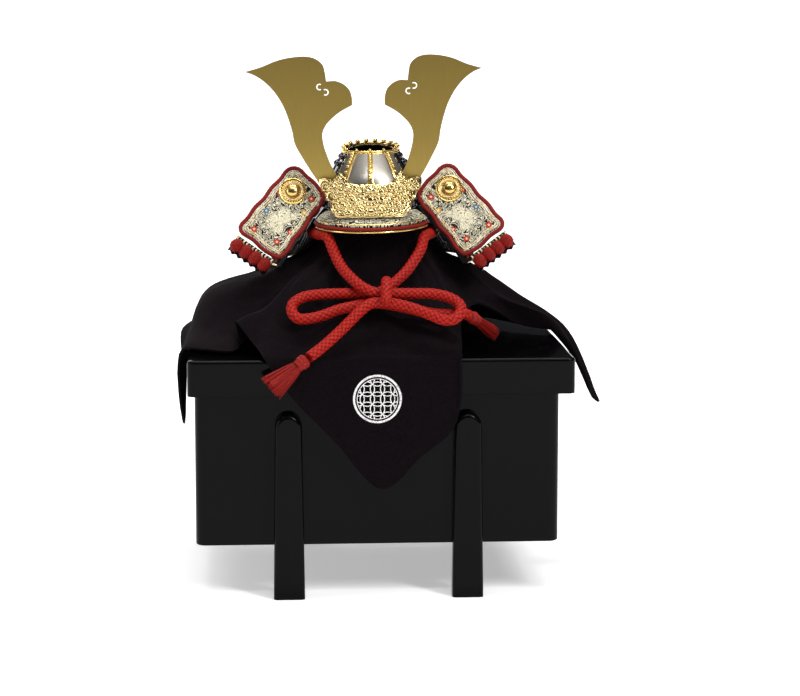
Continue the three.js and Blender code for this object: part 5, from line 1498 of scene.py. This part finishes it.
def board_outline(offset, count):
    far = BOARD_WIDTH + BOARD_FLARE
    r = 5.0
    runs = [
        ("l", (r, 0), (BOARD_LENGTH - r, 0)),
        ("q", (BOARD_LENGTH - r, 0), (BOARD_LENGTH, 0), (BOARD_LENGTH, r)),
        ("l", (BOARD_LENGTH, r), (BOARD_LENGTH - 2, far - r)),
        ("q", (BOARD_LENGTH - 2, far - r), (BOARD_LENGTH - 2, far), (BOARD_LENGTH - 2 - r, far)),
        ("l", (BOARD_LENGTH - 2 - r, far), (3, BOARD_WIDTH)),
        ("q", (3, BOARD_WIDTH), (-6, BOARD_WIDTH - 1), (-6, BOARD_WIDTH - 9)),
        ("l", (-6, BOARD_WIDTH - 9), (-1, r)), ("q", (-1, r), (-0.5, 0), (r, 0))]
    fine = []
    for kind, *p in runs:
        for k in range(60):
            t = k / 60
            if kind == "l":
                fine.append(Vector((lerp(p[0][0], p[1][0], t), lerp(p[0][1], p[1][1], t))))
            else:
                a, b, c = (Vector(q) for q in p)
                fine.append(a * (1 - t) ** 2 + b * (2 * t * (1 - t)) + c * t * t)
    total = [0.0]
    for a, b in zip(fine, fine[1:] + fine[:1]):
        total.append(total[-1] + (b - a).length)
    base = []
    j = 0
    for k in range(count):
        want = total[-1] * k / count
        while total[j + 1] < want:
            j += 1
        t = (want - total[j]) / (total[j + 1] - total[j])
        base.append(fine[j].lerp(fine[(j + 1) % len(fine)], t))
    out = []
    for k, p in enumerate(base):
        along = (base[(k + 1) % count] - base[k - 1]).normalized()
        wave = BOARD_WAVE * math.sin(2 * math.pi * 9 * k / count)
        out.append((p.x + along.y * (offset + wave), p.y - along.x * (offset + wave)))
    return out


def board_place(sign):
    def place(p):
        q = BOARD_START + BOARD_TURN @ Vector(p)
        return helmet_place((sign * q.x, q.y, q.z))

    return place


# A flat plate of an outline. A padded one has rings on its face, each given in swell as its share of the
# way in and its rise.
def plate(outline, thick, swell=()):
    bm = bmesh.new()
    back = bm.faces.new([bm.verts.new((x, y, 0)) for x, y in outline])
    middle = sum((v.co for v in back.verts), Vector()) / len(outline)
    made = bmesh.ops.extrude_face_region(bm, geom=[back])["geom"]
    bmesh.ops.translate(bm, vec=(0, 0, thick), verts=of_kind(made, bmesh.types.BMVert))
    share_before, rise_before = 0.0, 0.0
    for share, rise in swell:
        face = of_kind(made, bmesh.types.BMFace)
        made = bmesh.ops.extrude_face_region(bm, geom=face)["geom"]
        bmesh.ops.delete(bm, geom=face, context="FACES_ONLY")
        ring = of_kind(made, bmesh.types.BMVert)
        size = (1 - share) / (1 - share_before)
        bmesh.ops.scale(bm, vec=(size, size, 1), space=Matrix.Translation(-middle), verts=ring)
        bmesh.ops.translate(bm, vec=(0, 0, rise - rise_before), verts=ring)
        share_before, rise_before = share, rise
    return read_out(bm)


def build_turnback(side, sign):
    place = board_place(sign)
    shares = (0.02, 0.06, 0.14, 0.3, 0.55, 0.8)
    swell = [(t, BOARD_PUFF * math.sin(min(5 * t, 1) * math.pi / 2)) for t in shares]
    body, faces, _ = plate(board_outline(0, 216), BOARD_THICK - BOARD_PUFF, swell)
    uvs = [(x, y) for x, y, z in body]
    make_piece(
        "turnback_board_" + side, body, faces, board_leather, "leather", place, uvs, ["turnback_" + side], 60)

    line = [(x, y, BOARD_THICK / 2) for x, y in board_outline(EDGE_TUBE + SEAT_GAP, 432)]
    body, faces, uvs = sweep(line, rope(EDGE_TUBE, 3, 3.2), 14, closed=True)
    stands_for = ["turnback_piping_" + side]
    make_piece("turnback_rope_" + side, body, faces, piping_look, "piping", place, uvs, stands_for, 80)

    beads = Body()
    for x, y in board_outline(-1.5, 150):
        beads.add(*moved(ball(0.72, 8, 6, 0.8), (x, y, BOARD_THICK + 0.05)))
    line = [(x, y, BOARD_THICK) for x, y in board_outline(-3.2, 400)]
    beads.add(*sweep(line, rope(0.4, 2, 1.4), 6, closed=True))
    beads.piece("turnback_beads_" + side, cream_look, "leather", place, smooth_angle=70)

    rosette = Body()
    middle = (12, 24.2, BOARD_THICK + SEAT_GAP)
    r = ROSETTE_RADIUS
    profile = [(0, 0), (r, 0), (r, 0.7), (r * 0.96, 1.0), (r * 0.9, 0.8), (r * 0.86, 0.8)]
    profile += [(r * 0.83, 1.5), (r * 0.79, 1.9), (r * 0.74, 1.7), (r * 0.7, 1.0), (r * 0.63, 1.0)]
    profile += [(r * 0.6, 1.9), (r * 0.56, 2.4), (r * 0.52, 2.1)]
    for k in range(10):
        a = math.pi / 2 * k / 9
        profile.append((r * 0.5 * math.cos(a), 2.1 + 3.3 * math.sin(a)))

    def scalloped(turn, row):
        return 1, 0.62 + 0.38 * abs(math.sin(12 * turn)) if row in (6, 7, 8) else 1

    rosette.add(*moved(lathe(profile, 192, scalloped), middle))
    for k in range(36):
        a = 2 * math.pi * k / 36
        spot = (middle[0] + r * 0.935 * math.cos(a), middle[1] + r * 0.935 * math.sin(a), middle[2] + 0.95)
        rosette.add(*moved(ball(0.55, 8, 6), spot))
    rosette.piece("rosette_gilt_" + side, gold, "gold", place, ["rosette_" + side], 35)
    twist = Body()
    ring = []
    for k in range(160):
        a = 2 * math.pi * k / 160
        ring.append(Vector(middle) + Vector((r * 0.665 * math.cos(a), r * 0.665 * math.sin(a), 1.25)))
    twist.add(*sweep(ring, rope(0.62, 2, 1.9), 8, closed=True))
    twist.piece("rosette_thread_" + side, cream_look, "silk", place, smooth_angle=70)

    low = BOARD_LENGTH + 2 * EDGE_TUBE + 2 * SEAT_GAP + 0.3
    wide = BOARD_WIDTH + BOARD_FLARE - 2
    strip = []
    for k in range(61):
        y = 1 + wide * k / 60
        strip.append((low + TUFT_STRIP - 1.0 + 0.9 * math.sin(2 * math.pi * k / 10), y))
    outline = [(low, 1), (low, 1 + wide)] + strip[::-1]
    points, faces, uvs = plate(outline, BOARD_THICK)
    stands_for = ["turnback_lame_" + side]
    make_piece("turnback_lame_scales_" + side, points, faces, iron, "black_iron", place, uvs, stands_for, 40)

    face = BOARD_THICK + SEAT_GAP
    middle_u = low + TUFT_STRIP * 0.55
    tufts = Body()
    for k in range(TUFT_COUNT):
        v = 1 + wide * (k + 0.5) / TUFT_COUNT

        def fluff(turn, row):
            return 1 + 0.035 * math.cos(18 * turn) + 0.02 * math.cos(31 * turn + row), 1

        profile = [(0.0, 0.0)]
        for j in range(1, 14):
            a = math.pi * j / 14
            profile.append((TUFT_RADIUS * math.sin(a) ** 0.9, 0.7 * TUFT_RADIUS * (1 - math.cos(a))))
        profile.append((0.0, 1.4 * TUFT_RADIUS))
        points, faces, uvs = lathe(profile, 72, fluff)
        points = [(1.08 * x, 0.96 * y, z) for x, y, z in points]
        tufts.add(*moved((points, faces, uvs), (middle_u, v, face)))
        for m in range(16):
            a = 2 * math.pi * m / 16
            path = []
            for j in range(7):
                t = j / 6
                rr = TUFT_RADIUS * (0.15 + 0.9 * math.sin(t * math.pi / 2))
                z = face + 1.4 * TUFT_RADIUS * (0.5 + 0.5 * math.cos(t * math.pi * 0.62)) + 0.12
                path.append((middle_u + 1.08 * rr * math.cos(a), v + 0.96 * rr * math.sin(a), z))
            tufts.add(*sweep(path, lambda turn, along: 0.42, 5))
    near, far = middle_u - 2.9, middle_u + 2.9
    ribbon = plate([(near, 3), (far, 3), (far, wide - 1), (near, wide - 1)], 1)
    tufts.add(*moved(ribbon, (0, 0, face)))
    tufts.piece("silk_tufts_floss_" + side, thread_look, "silk", place, ["silk_tufts_" + side], 60)

    knots = Body()
    greens = Body()
    for k in range(TUFT_COUNT * 3):
        v = 2.4 + (wide - 3) * k / (TUFT_COUNT * 3 - 1)
        target = greens if k % 3 == 1 else knots
        wave = ((0.8, 0, 0.2), (2.4, 0.5, 1.5), (4.2, -0.4, 0.9), (5.4, 0, 0.2))
        path = [(low + du, v + dv, face + rise) for du, dv, rise in wave]
        target.add(*sweep(spaced(path, 0.5), rope(0.75, 2, 1.4), 8))
    knots.piece("turnback_knots_" + side, cream_look, "silk", place, smooth_angle=70)
    greens.piece("turnback_knots_green_" + side, green_look, "silk", place, smooth_angle=70)


build_turnback("left", -1)
build_turnback("right", 1)

# Pale studio floor that curves up behind, and soft light
stage_look, tree, shader, object_place, uv_place = new_look(
    "Studio paper, white", Base_Color=colour("#f0f0f0"), Roughness=0.95, Specular_IOR_Level=0.1,
    Emission_Color=colour("#ffffff"),
)
far = add_node(tree, "ShaderNodeVectorMath", {"operation": "LENGTH"}, in0=object_place).outputs["Value"]
glow = add_node(
    tree, "ShaderNodeMapRange", None, Value=far, From_Min=0.7, From_Max=2.2, To_Min=0.42, To_Max=0.8)
tree.links.new(glow.outputs["Result"], shader.inputs["Emission Strength"])


STAGE_REACH, STAGE_WALL = 4.2, 0.6


def stage_sheet():
    mesh = bpy.data.meshes.new("studio")
    profile = [(0.0, 0.0), (0.5, 0.0), (1.5, 0.0), (3.0, 0.0), (STAGE_REACH, 0.0)]
    for k in range(1, 11):
        a = math.pi / 2 * k / 10
        profile.append((STAGE_REACH + STAGE_WALL * math.sin(a), STAGE_WALL * (1 - math.cos(a))))
    points, faces, _ = lathe(profile, 72)
    mesh.from_pydata(points, [], faces)
    mesh.shade_smooth()
    mesh.materials.append(stage_look)
    sheet = bpy.data.objects.new("studio", mesh)
    bpy.context.collection.objects.link(sheet)
    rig.stage(sheet)


stage_sheet()


def soft_light(name, at, aim, size, power):
    data = bpy.data.lights.new(name, "AREA")
    data.shape = "RECTANGLE"
    data.size, data.size_y = size
    data.energy = power
    lamp = bpy.data.objects.new(name, data)
    bpy.context.collection.objects.link(lamp)
    lamp.location = at
    lamp.rotation_euler = (Vector(aim) - Vector(at)).to_track_quat("-Z", "Y").to_euler()


soft_light("key", (1.25, -1.8, 2.0), (0, 0, 0.3), (0.4, 1.3), 44)
soft_light("fill", (-2.3, -0.7, 1.0), (0, 0, 0.25), (0.8, 1.2), 13)
soft_light("top strip", (0.0, 0.15, 2.1), (0, 0, 0.2), (1.5, 0.14), 20)
soft_light("front strip", (0.0, -1.2, 2.2), (0, 0, 0.2), (1.3, 0.12), 9)
soft_light("back", (-0.9, 2.2, 1.5), (0, 0, 0.3), (1.2, 0.9), 22)
world = bpy.data.worlds.new("studio")
world.use_nodes = True
sky = world.node_tree
toward = add_node(sky, "ShaderNodeTexCoord").outputs["Generated"]
upward = add_node(sky, "ShaderNodeSeparateXYZ", None, Vector=toward).outputs["Z"]
shade = ramp(
    sky, upward, [(0.0, "#ffffff"), (0.05, "#8f9094"), (0.11, "#26272a"), (0.55, "#5a5b5e"), (0.9, "#ffffff")])
sky.links.new(shade, sky.nodes["Background"].inputs["Color"])
sky.nodes["Background"].inputs["Strength"].default_value = 0.7
bpy.context.scene.world = world
bpy.context.scene.view_settings.view_transform = "Standard"

size_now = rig.bounds()
with open("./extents.json", "w") as f:
    json.dump({"frame": [list(p) for p in size_frame], "shown": [list(p) for p in size_now]}, f)
